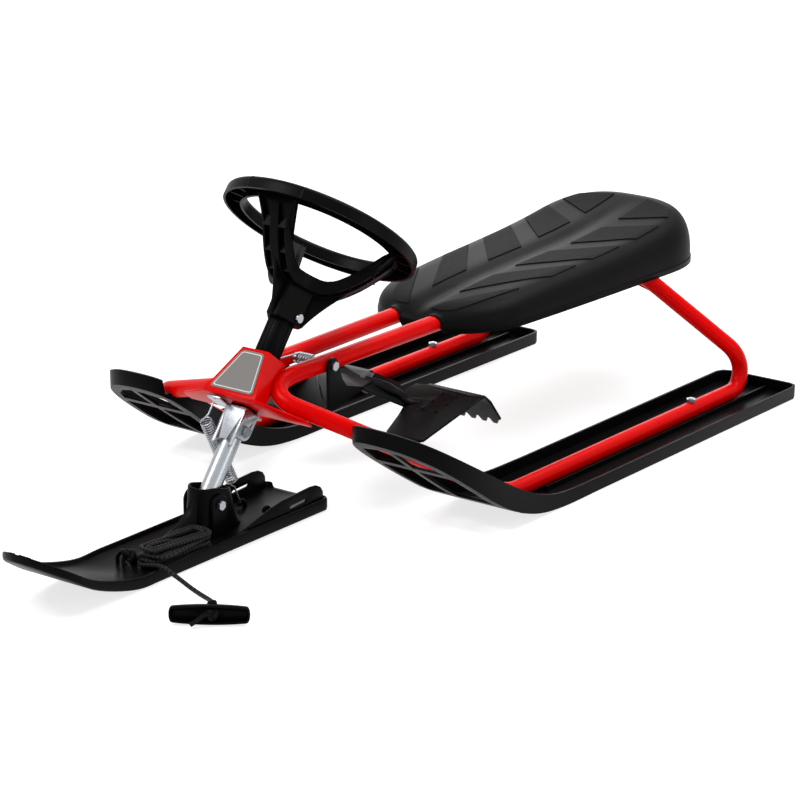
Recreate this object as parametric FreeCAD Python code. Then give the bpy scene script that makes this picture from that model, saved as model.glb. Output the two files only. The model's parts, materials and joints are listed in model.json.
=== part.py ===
import FreeCAD, Part
import math
import os

os.makedirs("parts", exist_ok=True)
V = FreeCAD.Vector

# Sled on three skis. Forward is -Y, left is +X, up is +Z, millimetres, floor at z 0.

# Frame tubes
TUBE_R = 10.0
TUBE_WALL = 1.5
TUBE_Z = 163.0
TUBE_X_HEAD = 24.0
TUBE_X_SEAT = 34.0
HEAD_BEND_Y = -208.0
HEAD_BEND_Z = 154.0
HEAD_BEND_R = 30.0
HEAD_DROP_Y = -158.0
HEAD_DROP_R = 60.0
NOSE_X = 158.0
NOSE_Y = -165.0
NOSE_Z = 113.0
NOSE_BEND_R = 34.0
FOOT_BEND_Y = 12.0
FOOT_BEND_R = 80.0
JOIN_Y = 315.0
SPIGOT_L = 92.0
SPIGOT_FIT = 0.05

# Runners
RUNNER_X = 196.0
RUNNER_W = 111.0
RUNNER_END_Y = 560.0
RUNNER_H = 16.0
RUNNER_FLOOR = 3.0
RUNNER_WALL = 3.0
RUNNER_CORNER_R = 12.0
NOSE_FRONT_Y = -197.0
NOSE_IN_X = 126.0
NOSE_OUT_X = 224.0
NOSE_TAPER_Y = -95.0
NOSE_CORNER_R = 24.0
NOSE_SIDE_R = 60.0
SOLE_START_Y = 45.0
SOLE_A_Y = -8.0
SOLE_A_Z = 7.0
SOLE_B_Y = -60.0
SOLE_B_Z = 25.0
SOLE_C_Y = -116.0
SOLE_C_Z = 58.0
SOLE_D_Y = -206.0
SOLE_D_Z = 121.0
RIM_START_Y = 118.0
RIM_A_Y = 30.0
RIM_A_Z = 20.0
RIM_B_Y = -36.0
RIM_B_Z = 43.0
RIM_C_Y = -116.0
RIM_C_Z = 88.0
RIM_D_Y = -206.0
RIM_D_Z = 146.0
WINDOW_ROWS = 4
WINDOW_COLUMNS = 3
WINDOW_FRONT_Y = -178.0
WINDOW_REAR_Y = -62.0
WINDOW_RIB = 5.0
WINDOW_EDGE = 16.0
CRADLE_H = 6.0
CRADLE_T = 3.0
CRADLE_GAP = 2.0
CRADLE_FRONT_Y = 70.0
BOLT_Y = 399.0
BOLT_R = 3.0
BOLT_HEAD_R = 6.5
BOLT_HEAD_H = 1.8
BOLT_HOLE_FIT = 0.08
NUT_R = 6.0
NUT_H = 4.0
LAY_GAP = 0.3

# Rear hoop
HOOP_BACK_Y = 530.0
HOOP_FOOT_R = 24.0
HOOP_KNEE_X = 192.0
HOOP_KNEE_Y = 505.0
HOOP_KNEE_Z = 62.0
HOOP_KNEE_R = 36.0
HOOP_TOP_X = 88.0
HOOP_TOP_Y = 446.0
HOOP_TOP_Z = 158.0
HOOP_TOP_R = 36.0
GUSSET_T = 2.5
GUSSET_REACH = 62.0

# Seat
SEAT_WALL = 4.0
SEAT_LIP_Z = 158.0
SEAT_SKIRT = 5.0
SEAT_FRONT_Y = 93.0
SEAT_REAR_Y = 573.0
SEAT_NOSE_W = 88.0
SEAT_NOSE_L = 92.0
SEAT_NOSE_BLUNT = 2.4
SEAT_WAIST_Y = 205.0
SEAT_WAIST_W = 97.0
SEAT_HIP_Y = 440.0
SEAT_HIP_W = 106.0
SEAT_BACK_W = 104.0
SEAT_TAIL_L = 72.0
SEAT_TAIL_BLUNT = 2.8
SEAT_NOSE_Z = 177.0
SEAT_WAIST_Z = 190.0
SEAT_HIP_Z = 201.0
SEAT_BACK_Z = 220.0
SEAT_ROUND = 4.5
GROOVE_D = 5.0
GROOVE_W = 15.0
SEAT_TUBE_GAP = 0.6
PAD_FRONT_Y = 150.0
PAD_REAR_Y = 340.0
PAD_L = 34.0
PAD_W = 16.0
SEAT_SCREW_R = 2.5
SEAT_SCREW_FIT = 0.08
SEAT_SCREW_BITE = 9.0
SEAT_SCREW_HEAD_R = 4.5
SEAT_SCREW_HEAD_H = 2.6

# Steering axis: local Z runs up the column, local -Y faces forward, zero at the wheel centre
AXIS_LEAN = 38.0
WHEEL_Y = -74.0
WHEEL_Z = 308.6
WHEEL_R = 115.0
RIM_W = 23.5
RIM_TOP = 7.5
RIM_LOW = -8.0
RIM_WALL = 3.0
RIM_ROUND = 5.0
RIM_RIBS = 24
RIM_RIB_T = 2.0
RIM_RIB_DROP = 7.0
SPOKE_W = 34.0
SPOKE_T = 3.5
SPOKE_FLANGE = 16.0
SPOKE_FILLET = 40.0
SPOKE_TURNS = (-90, 30, 150)
DISH_R = 30.0
DISH_SOFT = 0.8
DISH_STEPS = 6
WHEEL_FIN_MID_R = 36.0
WHEEL_FIN_MID = -88.0
WHEEL_FIN_TOP_R = 64.0
HUB_TOP = -60.0
HUB_R = 21.0
HUB_LOW = -116.0
HUB_LOW_R = 19.0
CAP_R = 15.0
CAP_H = 6.0
CAP_SEAT = 3.0
WHEEL_SCREW_R = 2.5
WHEEL_SCREW_DOWN = 108.0
NECK_R = 14.0
NECK_RIBS = 12
NECK_RIB_W = 2.0
NECK_RIB_H = 1.0
SHAFT_R = 9.0
SHAFT_TOP = -76.0
SHAFT_FIT = 0.05
BUSH_R = 13.0
BUSH_FLANGE_R = 15.5
BUSH_FLANGE_H = 2.0
BUSH_L = 15.0
PRESS_FIT = 0.05
TOP_PLATE_S = -160.0
TOP_PLATE_T = 2.5
BOTTOM_PLATE_S = -220.0
BOTTOM_PLATE_T = 2.5
HEAD_T = 2.0
HEAD_TOP_HALF = 18.5
HEAD_LOW_HALF = 36.0
HEAD_TOP_FRONT = 22.0
HEAD_LOW_FRONT = 35.0
HEAD_TOP_BACK = -14.0
HEAD_LOW_BACK = 12.0
WING_TIP_X = 86.0
WING_TIP_BACK = 5.0
WING_W = 17.0
LABEL_T = 0.8
LABEL_EDGE = 4.0
TUBE_WELD_GAP = 0.3

# Clevis and strut
CLEVIS_GAP = 0.4
CLEVIS_T = 3.0
CLEVIS_BACK = 18.0
CLEVIS_LOW = 46.0
CLEVIS_BOLT_DOWN = 23.0
EAR_R = 11.0
ARCH_R = 12.5
CLEVIS_BOLT_R = 3.0
STRUT_R = 11.0
STRUT_WALL = 2.0
STRUT_TOP_GAP = 5.0
STRUT_SIDE_GAP = 0.4
STRUT_END_PAST = 13.0
TAB_X = -24.5
TAB_W = 11.0
TAB_FRONT = 32.0
HEX_H = 3.8
HEX_R = 5.6

# Ski tower and front ski
PIVOT_Z = 44.5
PIVOT_R = 3.0
PIVOT_FIT = 0.05
TOWER_WALL = 7.0
TOWER_GAP = 0.5
TOWER_TOP_Z = 64.0
TOWER_REAR_Y = -232.0
TOWER_REAR_TOP_Y = -250.0
TOWER_REAR_TOP_Z = 55.0
TOWER_FRONT_TOP_Y = -294.0
TOWER_TOE_Y = -382.0
TOWER_TOE_Z = 16.0
TOWER_NECK_Y = -303.0
TOWER_NECK_Z = 47.0
TOWER_SWOOP_Y = -330.0
TOWER_SWOOP_Z = 26.0
TOWER_FOOT_Y = -311.0
TOWER_RIB_HALF = 8.0
TOWER_EAR_R = 15.0
TOWER_EAR_T = 3.0
TOWER_HOLE_R = 3.0
SKI_HALF = 48.0
SKI_REAR_Y = -121.0
SKI_TIP_Y = -573.0
SKI_T = 9.0
SKI_RIM_Z = 15.0
SKI_RIM_W = 5.0
SKI_BEND_Y = -440.0
SKI_MID_Y = -504.0
SKI_MID_Z = 18.5
SKI_TIP_Z = 57.0
SKI_TIP_R = 44.0
SKI_TIP_T = 5.0
SKI_TIP_RIM = 8.0
SKI_TIP_RISE = 0.6
SKI_REAR_R = 8.0
FIN_X = 42.0
FIN_T = 3.0
FIN_FRONT_Y = -276.0
FIN_TOP_FRONT_Y = -200.0
FIN_TOP_REAR_Y = -137.0
FIN_REAR_Y = -126.0
FIN_Z = 31.0
SLOT_L = 30.0
SLOT_H = 4.0
SLOT_Y = -172.0
SLOT_Z = 20.0
HOOK_X = 18.0
HOOK_Y = -197.0
HOOK_L = 12.0
HOOK_W = 6.0
HOOK_H = 8.0
EYE_Y = -404.0
EYE_X = -6.0
EYE_W = 10.0
EYE_L = 16.0
EYE_H = 11.0
EYE_R = 3.6

# Springs
SPRING_R = 6.4
SPRING_WIRE_R = 1.0
SPRING_TURNS = 29
SPRING_TOP_Y = -248.0
SPRING_TOP_Z = 124.0
SPRING_LOW_X = -18.0
SPRING_LOW_Y = -213.0
SPRING_LOW_Z = 46.0
SPRING_END = 4.0
COIL_R = 6.6
COIL_WIRE_R = 1.0
COIL_TURNS = 5
COIL_PITCH = 3.6
COIL_LEG_Y = -86.0
COIL_LEG_Z = 117.5

# Brake
BRAKE_Y = -103.0
BRAKE_BOLT_R = 3.0
BRAKE_FIT = 0.05
BRAKE_T = 3.0
BRAKE_EAR_GAP = 1.5
BRAKE_EAR_R = 9.0
BRAKE_EAR_LOW_Z = 108.0
BRAKE_EAR_WAIST_Y = -86.0
BRAKE_EAR_WAIST_Z = 143.0
BRAKE_EAR_KNEE_Y = -79.0
BRAKE_EAR_KNEE_Z = 134.0
BRAKE_EAR_REAR_Y = -49.0
BRAKE_EAR_REAR_Z = 125.0
BRIDGE_SLOPE = 0.214
ARM_LOW_X = 50.0
ARM_LOW_Y = 14.0
ARM_W = 35.0
ARM_TILT = 48.0
PAD_SLOPE_Y = 0.2
PAD_TOE_Y = -45.0
PAD_TOE_Z = 74.5
WING_OUT_X = 122.0
WING_IN_X = 30.0
WING_NOTCH_X = 58.0
WING_NOTCH_Y = -6.5
WING_TOE_X = 70.0
WING_TOE_Y = -45.0
WING_FRONT_Y = -52.0
WING_BEND_Y = 64.0
CLAW_IN_X = 43.0
CLAW_CREST_Y = 72.0
CLAW_CREST_Z = 96.5
CLAW_BACK_Y = 84.0
CLAW_BACK_Z = 86.0
CLAW_ROOT_Y = 103.0
CLAW_ROOT_Z = 62.0
CLAW_TEETH = 5
CLAW_TOOTH_L = 9.0
DIMPLE_R = 5.0
DIMPLE_H = 1.5
DIMPLE_X = 76.0
DIMPLE_Y = 16.5
DIMPLE_STEP = 19.5
SPACER_R = 6.0

# Tow rope
ROPE_R = 2.5
HANK_X = 26.0
HANK_FRONT_Y = EYE_Y
HANK_LAYER = 5.8
HANK_TURNS = 2
HANK_PITCH = 5.8
HANK_IN_R = 5.2
HANK_RUN = 62.0
OVER_RIM_X = 36.0
OVER_RIM_Z = 16.5
RIM_RUN = 15.0
HANDLE_L = 84.0
HANDLE_R = 11.0
HANDLE_X = 168.0
HANDLE_Y = -471.0
HANDLE_TURN = 35.0
HANDLE_END_R = 9.0

# Ways of making solids


def box(x0, x1, y0, y1, z0, z1):
    return Part.makeBox(x1 - x0, y1 - y0, z1 - z0, V(x0, y0, z0))


def rod(a, b, r):
    a = V(*a)
    d = V(*b) - a
    return Part.makeCylinder(r, d.Length, a, d)


def ring(a, b, r, bore):
    return rod(a, b, r).cut(rod(a, b, bore))


def prism(points, way):
    pts = [V(*p) for p in points]
    return Part.Face(Part.makePolygon(pts + [pts[0]])).extrude(V(*way))


def hexagon(centre, way, r, h):
    # Six-sided head or nut, made across X or Z
    way = V(*way)
    turn = FreeCAD.Rotation(V(0, 0, 1), way)
    pts = []
    for k in range(6):
        a = math.radians(60 * k)
        pts.append(V(*centre) + turn.multVec(V(r * math.cos(a), r * math.sin(a), 0)))
    return Part.Face(Part.makePolygon(pts + [pts[0]])).extrude(way * h)


def bent(points, radii):
    # Straight runs joined by tangent arcs
    pts = [V(*p) for p in points]
    edges = []
    start = pts[0]
    for k in range(1, len(pts) - 1):
        u = (pts[k] - pts[k - 1]).normalize()
        w = (pts[k + 1] - pts[k]).normalize()
        turn = u.getAngle(w)
        reach = radii[k - 1] * math.tan(turn / 2)
        a = pts[k] - u * reach
        b = pts[k] + w * reach
        inward = (w - u).normalize()
        mid = pts[k] + inward * (radii[k - 1] / math.cos(turn / 2) - radii[k - 1])
        if (a - start).Length > 1e-6:
            edges.append(Part.LineSegment(start, a).toShape())
        edges.append(Part.Arc(a, mid, b).toShape())
        start = b
    edges.append(Part.LineSegment(start, pts[-1]).toShape())
    return Part.Wire(edges)


def rounded(points, radii):
    # Closed outline with rounded corners, flat in Z
    n = len(points)
    first = [(points[0][i] + points[1][i]) / 2 for i in range(3)]
    loop = [first] + [points[(k + 1) % n] for k in range(n)] + [first]
    return bent(loop, [radii[(k + 1) % n] for k in range(n)])


def swept(wire, r):
    edge = wire.Edges[0]
    way = edge.tangentAt(edge.FirstParameter)
    circle = Part.Wire(Part.makeCircle(r, edge.valueAt(edge.FirstParameter), way))
    return wire.makePipeShell([circle], True, False)


def arc_from(p, t, q):
    # Arc that leaves p along t and ends at q
    chord = q - p
    if t.cross(chord.normalize()).Length < 1e-9:
        return Part.LineSegment(p, q).toShape()
    chord = q - p
    side = (chord - t * chord.dot(t)).normalize()
    r = chord.dot(chord) / (2 * chord.dot(side))
    centre = p + side * r
    out = (p - centre) + (q - centre)
    half = math.acos(max(-1, min(1, t.dot(V(chord).normalize()))))
    if half > math.pi / 2:
        out = out * -1
    return Part.Arc(p, centre + out.normalize() * r, q).toShape()


def biarc(p, t, q, s):
    # Two arcs that share a tangent, from p along t to q along s
    v = q - p
    b = 2 * v.dot(t + s)
    a = 2 * (1 - t.dot(s))
    c = v.dot(v)
    if abs(a) < 1e-9:
        d = c / b
    else:
        d = (-b + math.sqrt(b * b + 4 * a * c)) / (2 * a)
    m = (p + t * d + q - s * d) * 0.5
    there = arc_from(p, V(t), m)
    back = arc_from(q, V(s) * -1, m)
    return [there, back]


def chain(edges):
    return Part.Wire(Part.__sortEdges__(edges))


def lean(shape):
    # From the steering axis frame to the sled frame
    shape.rotate(V(0, 0, 0), V(1, 0, 0), -AXIS_LEAN)
    shape.translate(V(0, WHEEL_Y, WHEEL_Z))
    return shape


def mirrored(shape):
    return shape.mirror(V(0, 0, 0), V(1, 0, 0))


def save(name, shape):
    shape.exportStep("parts/" + name + ".step")
    print(name, len(shape.Solids), round(shape.Volume), shape.isValid())


SIN = math.sin(math.radians(AXIS_LEAN))
COS = math.cos(math.radians(AXIS_LEAN))


def up_axis(y, z):
    return (y - WHEEL_Y) * SIN + (z - WHEEL_Z) * COS


def axis_y(z):
    return WHEEL_Y + (z - WHEEL_Z) * SIN / COS


# Frame tubes

LAID_Z = RUNNER_FLOOR + LAY_GAP + TUBE_R
TUBE_BORE = TUBE_R - TUBE_WALL
SPIGOT_R = TUBE_BORE - SPIGOT_FIT

side_path = [
    (TUBE_X_SEAT, HOOP_TOP_Y, TUBE_Z),
    (TUBE_X_HEAD, HEAD_DROP_Y, TUBE_Z),
    (TUBE_X_HEAD, HEAD_BEND_Y, HEAD_BEND_Z),
    (NOSE_X, NOSE_Y, NOSE_Z),
    (RUNNER_X, FOOT_BEND_Y, LAID_Z),
    (RUNNER_X, JOIN_Y - LAY_GAP, LAID_Z),
]
side_bends = [HEAD_DROP_R, HEAD_BEND_R, NOSE_BEND_R, FOOT_BEND_R]
side_wire = bent(side_path, side_bends)
left_tube = swept(side_wire, TUBE_R).cut(swept(side_wire, TUBE_BORE))
spigot_end = JOIN_Y + SPIGOT_L
spigot = ring((RUNNER_X, JOIN_Y - TUBE_R, LAID_Z), (RUNNER_X, spigot_end, LAID_Z),
              SPIGOT_R, SPIGOT_R - TUBE_WALL)
swage = ring((RUNNER_X, JOIN_Y - TUBE_R, LAID_Z), (RUNNER_X, JOIN_Y - LAY_GAP, LAID_Z),
             TUBE_R - TUBE_WALL / 2, SPIGOT_R - TUBE_WALL)
left_tube = left_tube.fuse([swage, spigot])
tube_clear = swept(side_wire, TUBE_R + TUBE_WELD_GAP)
tube_clear = tube_clear.fuse(mirrored(tube_clear))

hoop_path = [
    (RUNNER_X, JOIN_Y, LAID_Z),
    (RUNNER_X, HOOP_BACK_Y, LAID_Z),
    (HOOP_KNEE_X, HOOP_KNEE_Y, HOOP_KNEE_Z),
    (HOOP_TOP_X, HOOP_TOP_Y, HOOP_TOP_Z),
    (-HOOP_TOP_X, HOOP_TOP_Y, HOOP_TOP_Z),
    (-HOOP_KNEE_X, HOOP_KNEE_Y, HOOP_KNEE_Z),
    (-RUNNER_X, HOOP_BACK_Y, LAID_Z),
    (-RUNNER_X, JOIN_Y, LAID_Z),
]
hoop_bends = [HOOP_FOOT_R, HOOP_KNEE_R, HOOP_TOP_R, HOOP_TOP_R, HOOP_KNEE_R, HOOP_FOOT_R]
hoop_wire = bent(hoop_path, hoop_bends)
hoop_full = swept(hoop_wire, TUBE_R)
hoop_bore = swept(hoop_wire, TUBE_BORE)
top = V(HOOP_TOP_X, HOOP_TOP_Y, HOOP_TOP_Z)
down_leg = (V(HOOP_KNEE_X, HOOP_KNEE_Y, HOOP_KNEE_Z) - top).normalize()
face_way = down_leg.cross(V(-1, 0, 0)).normalize()
corner = [top, top + down_leg * GUSSET_REACH, top - V(GUSSET_REACH, 0, 0)]
gusset = Part.Face(Part.makePolygon([p - face_way * (GUSSET_T / 2) for p in corner + [top]]))
gusset = gusset.extrude(face_way * GUSSET_T)
rear_hoop = hoop_full.fuse([gusset, mirrored(gusset)]).cut(hoop_bore)
hoop_clear = rod((-HOOP_TOP_X, HOOP_TOP_Y, HOOP_TOP_Z), (HOOP_TOP_X, HOOP_TOP_Y, HOOP_TOP_Z),
                 TUBE_R + TUBE_WELD_GAP)
left_tube = left_tube.cut(hoop_clear)

bolt_hole = rod((RUNNER_X, BOLT_Y, -1), (RUNNER_X, BOLT_Y, LAID_Z + TUBE_R + 1),
                BOLT_R + BOLT_HOLE_FIT)
left_tube = left_tube.cut(bolt_hole)
rear_hoop = rear_hoop.cut([bolt_hole, mirrored(bolt_hole)])


def tube_x_at(y):
    # Half spacing of the two seat tubes along the straight stretch under the seat
    t = (y - HEAD_DROP_Y) / (HOOP_TOP_Y - HEAD_DROP_Y)
    return TUBE_X_HEAD + t * (TUBE_X_SEAT - TUBE_X_HEAD)


SEAT_SCREW_SPOTS = [(tube_x_at(y), y) for y in (PAD_FRONT_Y, PAD_REAR_Y)]
for x, y in SEAT_SCREW_SPOTS:
    hole = rod((x, y, TUBE_Z - TUBE_R - 1), (x, y, TUBE_Z + TUBE_R + 1),
               SEAT_SCREW_R + SEAT_SCREW_FIT)
    left_tube = left_tube.cut(hole)
brake_hole = rod((0, BRAKE_Y, TUBE_Z), (TUBE_X_SEAT + TUBE_R, BRAKE_Y, TUBE_Z),
                 BRAKE_BOLT_R + BRAKE_FIT)
left_tube = left_tube.cut(brake_hole)

# Runners

in_x = RUNNER_X - RUNNER_W / 2
out_x = RUNNER_X + RUNNER_W / 2
plan = [
    (in_x, RUNNER_END_Y, 0),
    (in_x, NOSE_TAPER_Y, 0),
    (NOSE_IN_X, NOSE_FRONT_Y, 0),
    (NOSE_OUT_X, NOSE_FRONT_Y, 0),
    (out_x, NOSE_TAPER_Y, 0),
    (out_x, RUNNER_END_Y, 0),
]
plan_radii = [RUNNER_CORNER_R, NOSE_SIDE_R, NOSE_CORNER_R / 2, NOSE_CORNER_R, NOSE_SIDE_R,
              RUNNER_CORNER_R]
plan_wire = rounded(plan, plan_radii)
RUNNER_TALL = RIM_D_Z + 20.0


def curve(points):
    spline = Part.BSplineCurve()
    spline.interpolate([V(*p) for p in points], InitialTangent=V(0, -1, 0),
                       FinalTangent=V(*points[-1]) - V(*points[-2]))
    return spline.toShape()


def ramp(lift):
    # Sole line raised by lift, from the rear end to the nose
    line = [
        (0, SOLE_START_Y, lift),
        (0, SOLE_A_Y, SOLE_A_Z + lift),
        (0, SOLE_B_Y, SOLE_B_Z + lift),
        (0, SOLE_C_Y, SOLE_C_Z + lift),
        (0, SOLE_D_Y, SOLE_D_Z + lift),
    ]
    flat = Part.makeLine(V(0, RUNNER_END_Y + 5, lift), V(0, SOLE_START_Y, lift))
    return [flat, curve(line)]


def between(low, high, width):
    # Solid between two lines that run from rear to front, pulled along X
    a = Part.Wire(low)
    b = Part.Wire(high)
    a0, a1 = low[0].Vertexes[0].Point, low[-1].Vertexes[-1].Point
    b0, b1 = high[0].Vertexes[0].Point, high[-1].Vertexes[-1].Point
    ends = [Part.makeLine(a1, b1), Part.makeLine(b0, a0)]
    outline = Part.Wire(Part.__sortEdges__(a.Edges + b.Edges + ends))
    return Part.Face(outline).extrude(V(width, 0, 0))


rim_line = [
    Part.makeLine(V(0, RUNNER_END_Y + 5, RUNNER_H), V(0, RIM_START_Y, RUNNER_H)),
    curve([
        (0, RIM_START_Y, RUNNER_H),
        (0, RIM_A_Y, RIM_A_Z),
        (0, RIM_B_Y, RIM_B_Z),
        (0, RIM_C_Y, RIM_C_Z),
        (0, RIM_D_Y, RIM_D_Z),
    ]),
]
high_line = [
    Part.makeLine(V(0, RUNNER_END_Y + 5, RUNNER_TALL), V(0, SOLE_D_Y, RUNNER_TALL)),
]
wide = out_x - NOSE_IN_X + 40.0
slab = between(ramp(0), rim_line, wide)
slab.translate(V(NOSE_IN_X - 20.0, 0, 0))
hollow = between(ramp(RUNNER_FLOOR), high_line, wide)
hollow.translate(V(NOSE_IN_X - 20.0, 0, 0))
outer_plan = Part.Face(plan_wire).extrude(V(0, 0, RUNNER_TALL))
inner_plan = Part.Face(plan_wire.makeOffset2D(-RUNNER_WALL)).extrude(V(0, 0, RUNNER_TALL))
runner = slab.common(outer_plan).cut(hollow.common(inner_plan))

# Ribs on the channel floor that hold the tube
for side in (-1, 1):
    x = RUNNER_X + side * (TUBE_R + CRADLE_GAP + CRADLE_T / 2)
    runner = runner.fuse(box(x - CRADLE_T / 2, x + CRADLE_T / 2, CRADLE_FRONT_Y,
                             RUNNER_END_Y - RUNNER_WALL - CRADLE_T,
                             RUNNER_FLOOR - 1, RUNNER_FLOOR + CRADLE_H))

# Lattice of windows in the raised front of the sole
row_step = (WINDOW_REAR_Y - WINDOW_FRONT_Y) / WINDOW_ROWS
column_left = NOSE_IN_X + WINDOW_EDGE
column_step = (NOSE_OUT_X - WINDOW_EDGE - column_left) / WINDOW_COLUMNS
windows = []
for i in range(WINDOW_ROWS):
    for j in range(WINDOW_COLUMNS):
        y = WINDOW_FRONT_Y + i * row_step
        x = column_left + j * column_step
        windows.append(box(x, x + column_step - WINDOW_RIB, y, y + row_step - WINDOW_RIB,
                           0, RUNNER_TALL))
sole_only = between(ramp(-5), ramp(RUNNER_FLOOR + 1), wide)
sole_only.translate(V(NOSE_IN_X - 20.0, 0, 0))
runner = runner.cut([w.common(sole_only) for w in windows])
runner = runner.cut(tube_clear)
step_cut = box(NOSE_IN_X - 10, in_x + RUNNER_WALL + 4, NOSE_FRONT_Y + RUNNER_WALL + 4,
               NOSE_Y + TUBE_R, NOSE_Z + TUBE_R / 2, RUNNER_TALL)
runner = runner.cut(step_cut)
head_pocket = rod((RUNNER_X, BOLT_Y, -1), (RUNNER_X, BOLT_Y, BOLT_HEAD_H + BOLT_HOLE_FIT),
                  BOLT_HEAD_R + BOLT_HOLE_FIT)
runner = runner.cut([bolt_hole, head_pocket])

runner_bolt = rod((RUNNER_X, BOLT_Y, BOLT_HOLE_FIT), (RUNNER_X, BOLT_Y, BOLT_HEAD_H), BOLT_HEAD_R)
nut_z = LAID_Z + TUBE_R + LAY_GAP
runner_bolt = runner_bolt.fuse(rod((RUNNER_X, BOLT_Y, BOLT_HEAD_H),
                                   (RUNNER_X, BOLT_Y, nut_z + NUT_H + 1), BOLT_R))
runner_nut = hexagon((RUNNER_X, BOLT_Y, nut_z), (0, 0, 1), NUT_R, NUT_H)
runner_nut = runner_nut.cut(rod((RUNNER_X, BOLT_Y, nut_z - 1), (RUNNER_X, BOLT_Y, nut_z + NUT_H + 1),
                                BOLT_R + BOLT_HOLE_FIT))

save("left_frame_tube", left_tube)
save("right_frame_tube", mirrored(left_tube))
save("rear_hoop", rear_hoop)
save("left_runner", runner)
save("right_runner", mirrored(runner))
save("runner_bolts", Part.makeCompound([runner_bolt, mirrored(runner_bolt)]))
save("runner_nuts", Part.makeCompound([runner_nut, mirrored(runner_nut)]))

# Seat

seat_line = [SEAT_FRONT_Y, SEAT_WAIST_Y, SEAT_HIP_Y, SEAT_REAR_Y]
seat_widths = [SEAT_NOSE_W, SEAT_WAIST_W, SEAT_HIP_W, SEAT_BACK_W]
seat_crowns = [SEAT_NOSE_Z, SEAT_WAIST_Z, SEAT_HIP_Z, SEAT_BACK_Z]


def along_seat(y, values):
    # Value at y on the smooth line through the four seat stations
    total = 0.0
    for i in range(len(seat_line)):
        share = values[i]
        for j in range(len(seat_line)):
            if j != i:
                share *= (y - seat_line[j]) / (seat_line[i] - seat_line[j])
        total += share
    return total


def end_round(reach, length, blunt):
    # Share of the full width at a distance in from a rounded end
    if reach >= length:
        return 1.0
    return (1 - (1 - reach / length) ** blunt) ** (1 / blunt)


def seat_section(y, trim, low):
    # Outline across the seat at y; trim draws it in by the wall
    half = along_seat(y, seat_widths)
    half *= end_round(y - SEAT_FRONT_Y - trim, SEAT_NOSE_L, SEAT_NOSE_BLUNT)
    half *= end_round(SEAT_REAR_Y - trim - y, SEAT_TAIL_L, SEAT_TAIL_BLUNT)
    half -= trim
    rise = along_seat(y, seat_crowns) - trim - SEAT_LIP_Z
    pts = []
    for share in (-1, -0.985, -0.94, -0.86, -0.72, -0.52, -0.3, 0, 0.3, 0.52, 0.72, 0.86, 0.94, 0.985, 1):
        x = share * half
        top = SEAT_LIP_Z + rise * (1 - abs(share) ** SEAT_ROUND) ** (1 / SEAT_ROUND)
        valley = GROOVE_D * math.exp(-(x / GROOVE_W) ** 2)
        pts.append(V(x, y, top - valley))
    crown = Part.BSplineCurve()
    crown.interpolate(pts)
    left, right = pts[-1], pts[0]
    edges = [crown.toShape()]
    corners = [left, V(left.x, y, low), V(right.x, y, low), right]
    for a, b in zip(corners, corners[1:]):
        if a.distanceToPoint(b) > 1e-6:
            edges.append(Part.makeLine(a, b))
    return Part.Wire(edges)


def seat_body(trim, low):
    front = SEAT_FRONT_Y + trim
    rear = SEAT_REAR_Y - trim
    rows = [front + SEAT_NOSE_L * t for t in (0.02, 0.08, 0.2, 0.4, 0.7)]
    rows += [SEAT_WAIST_Y, (SEAT_WAIST_Y + SEAT_HIP_Y) / 2, SEAT_HIP_Y]
    rows += [rear - SEAT_TAIL_L * t for t in (0.7, 0.4, 0.2, 0.08, 0.02, 0.0001)]
    return Part.makeLoft([seat_section(y, trim, low) for y in rows], True, False)


seat = seat_body(0, SEAT_LIP_Z - SEAT_SKIRT)
seat = seat.cut(seat_body(SEAT_WALL, SEAT_LIP_Z - 2 * SEAT_SKIRT))
for x, y in SEAT_SCREW_SPOTS:
    for s in (-1, 1):
        pad = box(s * x - PAD_W / 2, s * x + PAD_W / 2, y - PAD_L / 2, y + PAD_L / 2,
                  TUBE_Z + TUBE_R + LAY_GAP, SEAT_HIP_Z)
        seat = seat.fuse(pad.common(seat_body(SEAT_WALL / 2, SEAT_LIP_Z - SEAT_SKIRT)))
        seat = seat.cut(rod((s * x, y, TUBE_Z), (s * x, y, TUBE_Z + TUBE_R + SEAT_SCREW_BITE),
                            SEAT_SCREW_R + SEAT_SCREW_FIT))
for s in (-1, 1):
    x = s * tube_x_at(SEAT_FRONT_Y)
    mouth = TUBE_R + SEAT_TUBE_GAP
    mouth_end = SEAT_FRONT_Y + SEAT_NOSE_L / 2
    seat = seat.cut(rod((x, SEAT_FRONT_Y - TUBE_R, TUBE_Z), (x, mouth_end, TUBE_Z), mouth))
    seat = seat.cut(box(x - mouth, x + mouth, SEAT_FRONT_Y - TUBE_R, mouth_end,
                        SEAT_LIP_Z - 2 * SEAT_SKIRT, TUBE_Z))
seat = seat.cut(swept(hoop_wire, TUBE_R + SEAT_TUBE_GAP))
save("seat_shell", seat)

screws = []
for x, y in SEAT_SCREW_SPOTS:
    low = TUBE_Z - TUBE_R - LAY_GAP
    screw = rod((x, y, low - SEAT_SCREW_HEAD_H), (x, y, low), SEAT_SCREW_HEAD_R)
    tip = TUBE_Z + TUBE_R + SEAT_SCREW_BITE - 1
    screw = screw.fuse(rod((x, y, low), (x, y, tip), SEAT_SCREW_R))
    screws += [screw, mirrored(screw)]
save("seat_screws", Part.makeCompound(screws))

# Head, in the steering axis frame


def tray(half, front, back, s, wall):
    # Open-backed outline of the folded head at one height
    pts = [
        (-half, -back, s), (-half, -front, s), (half, -front, s), (half, -back, s),
        (half - wall, -back, s), (half - wall, wall - front, s),
        (wall - half, wall - front, s), (wall - half, -back, s),
    ]
    pts = [V(*p) for p in pts]
    return Part.makePolygon(pts + [pts[0]])


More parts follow.
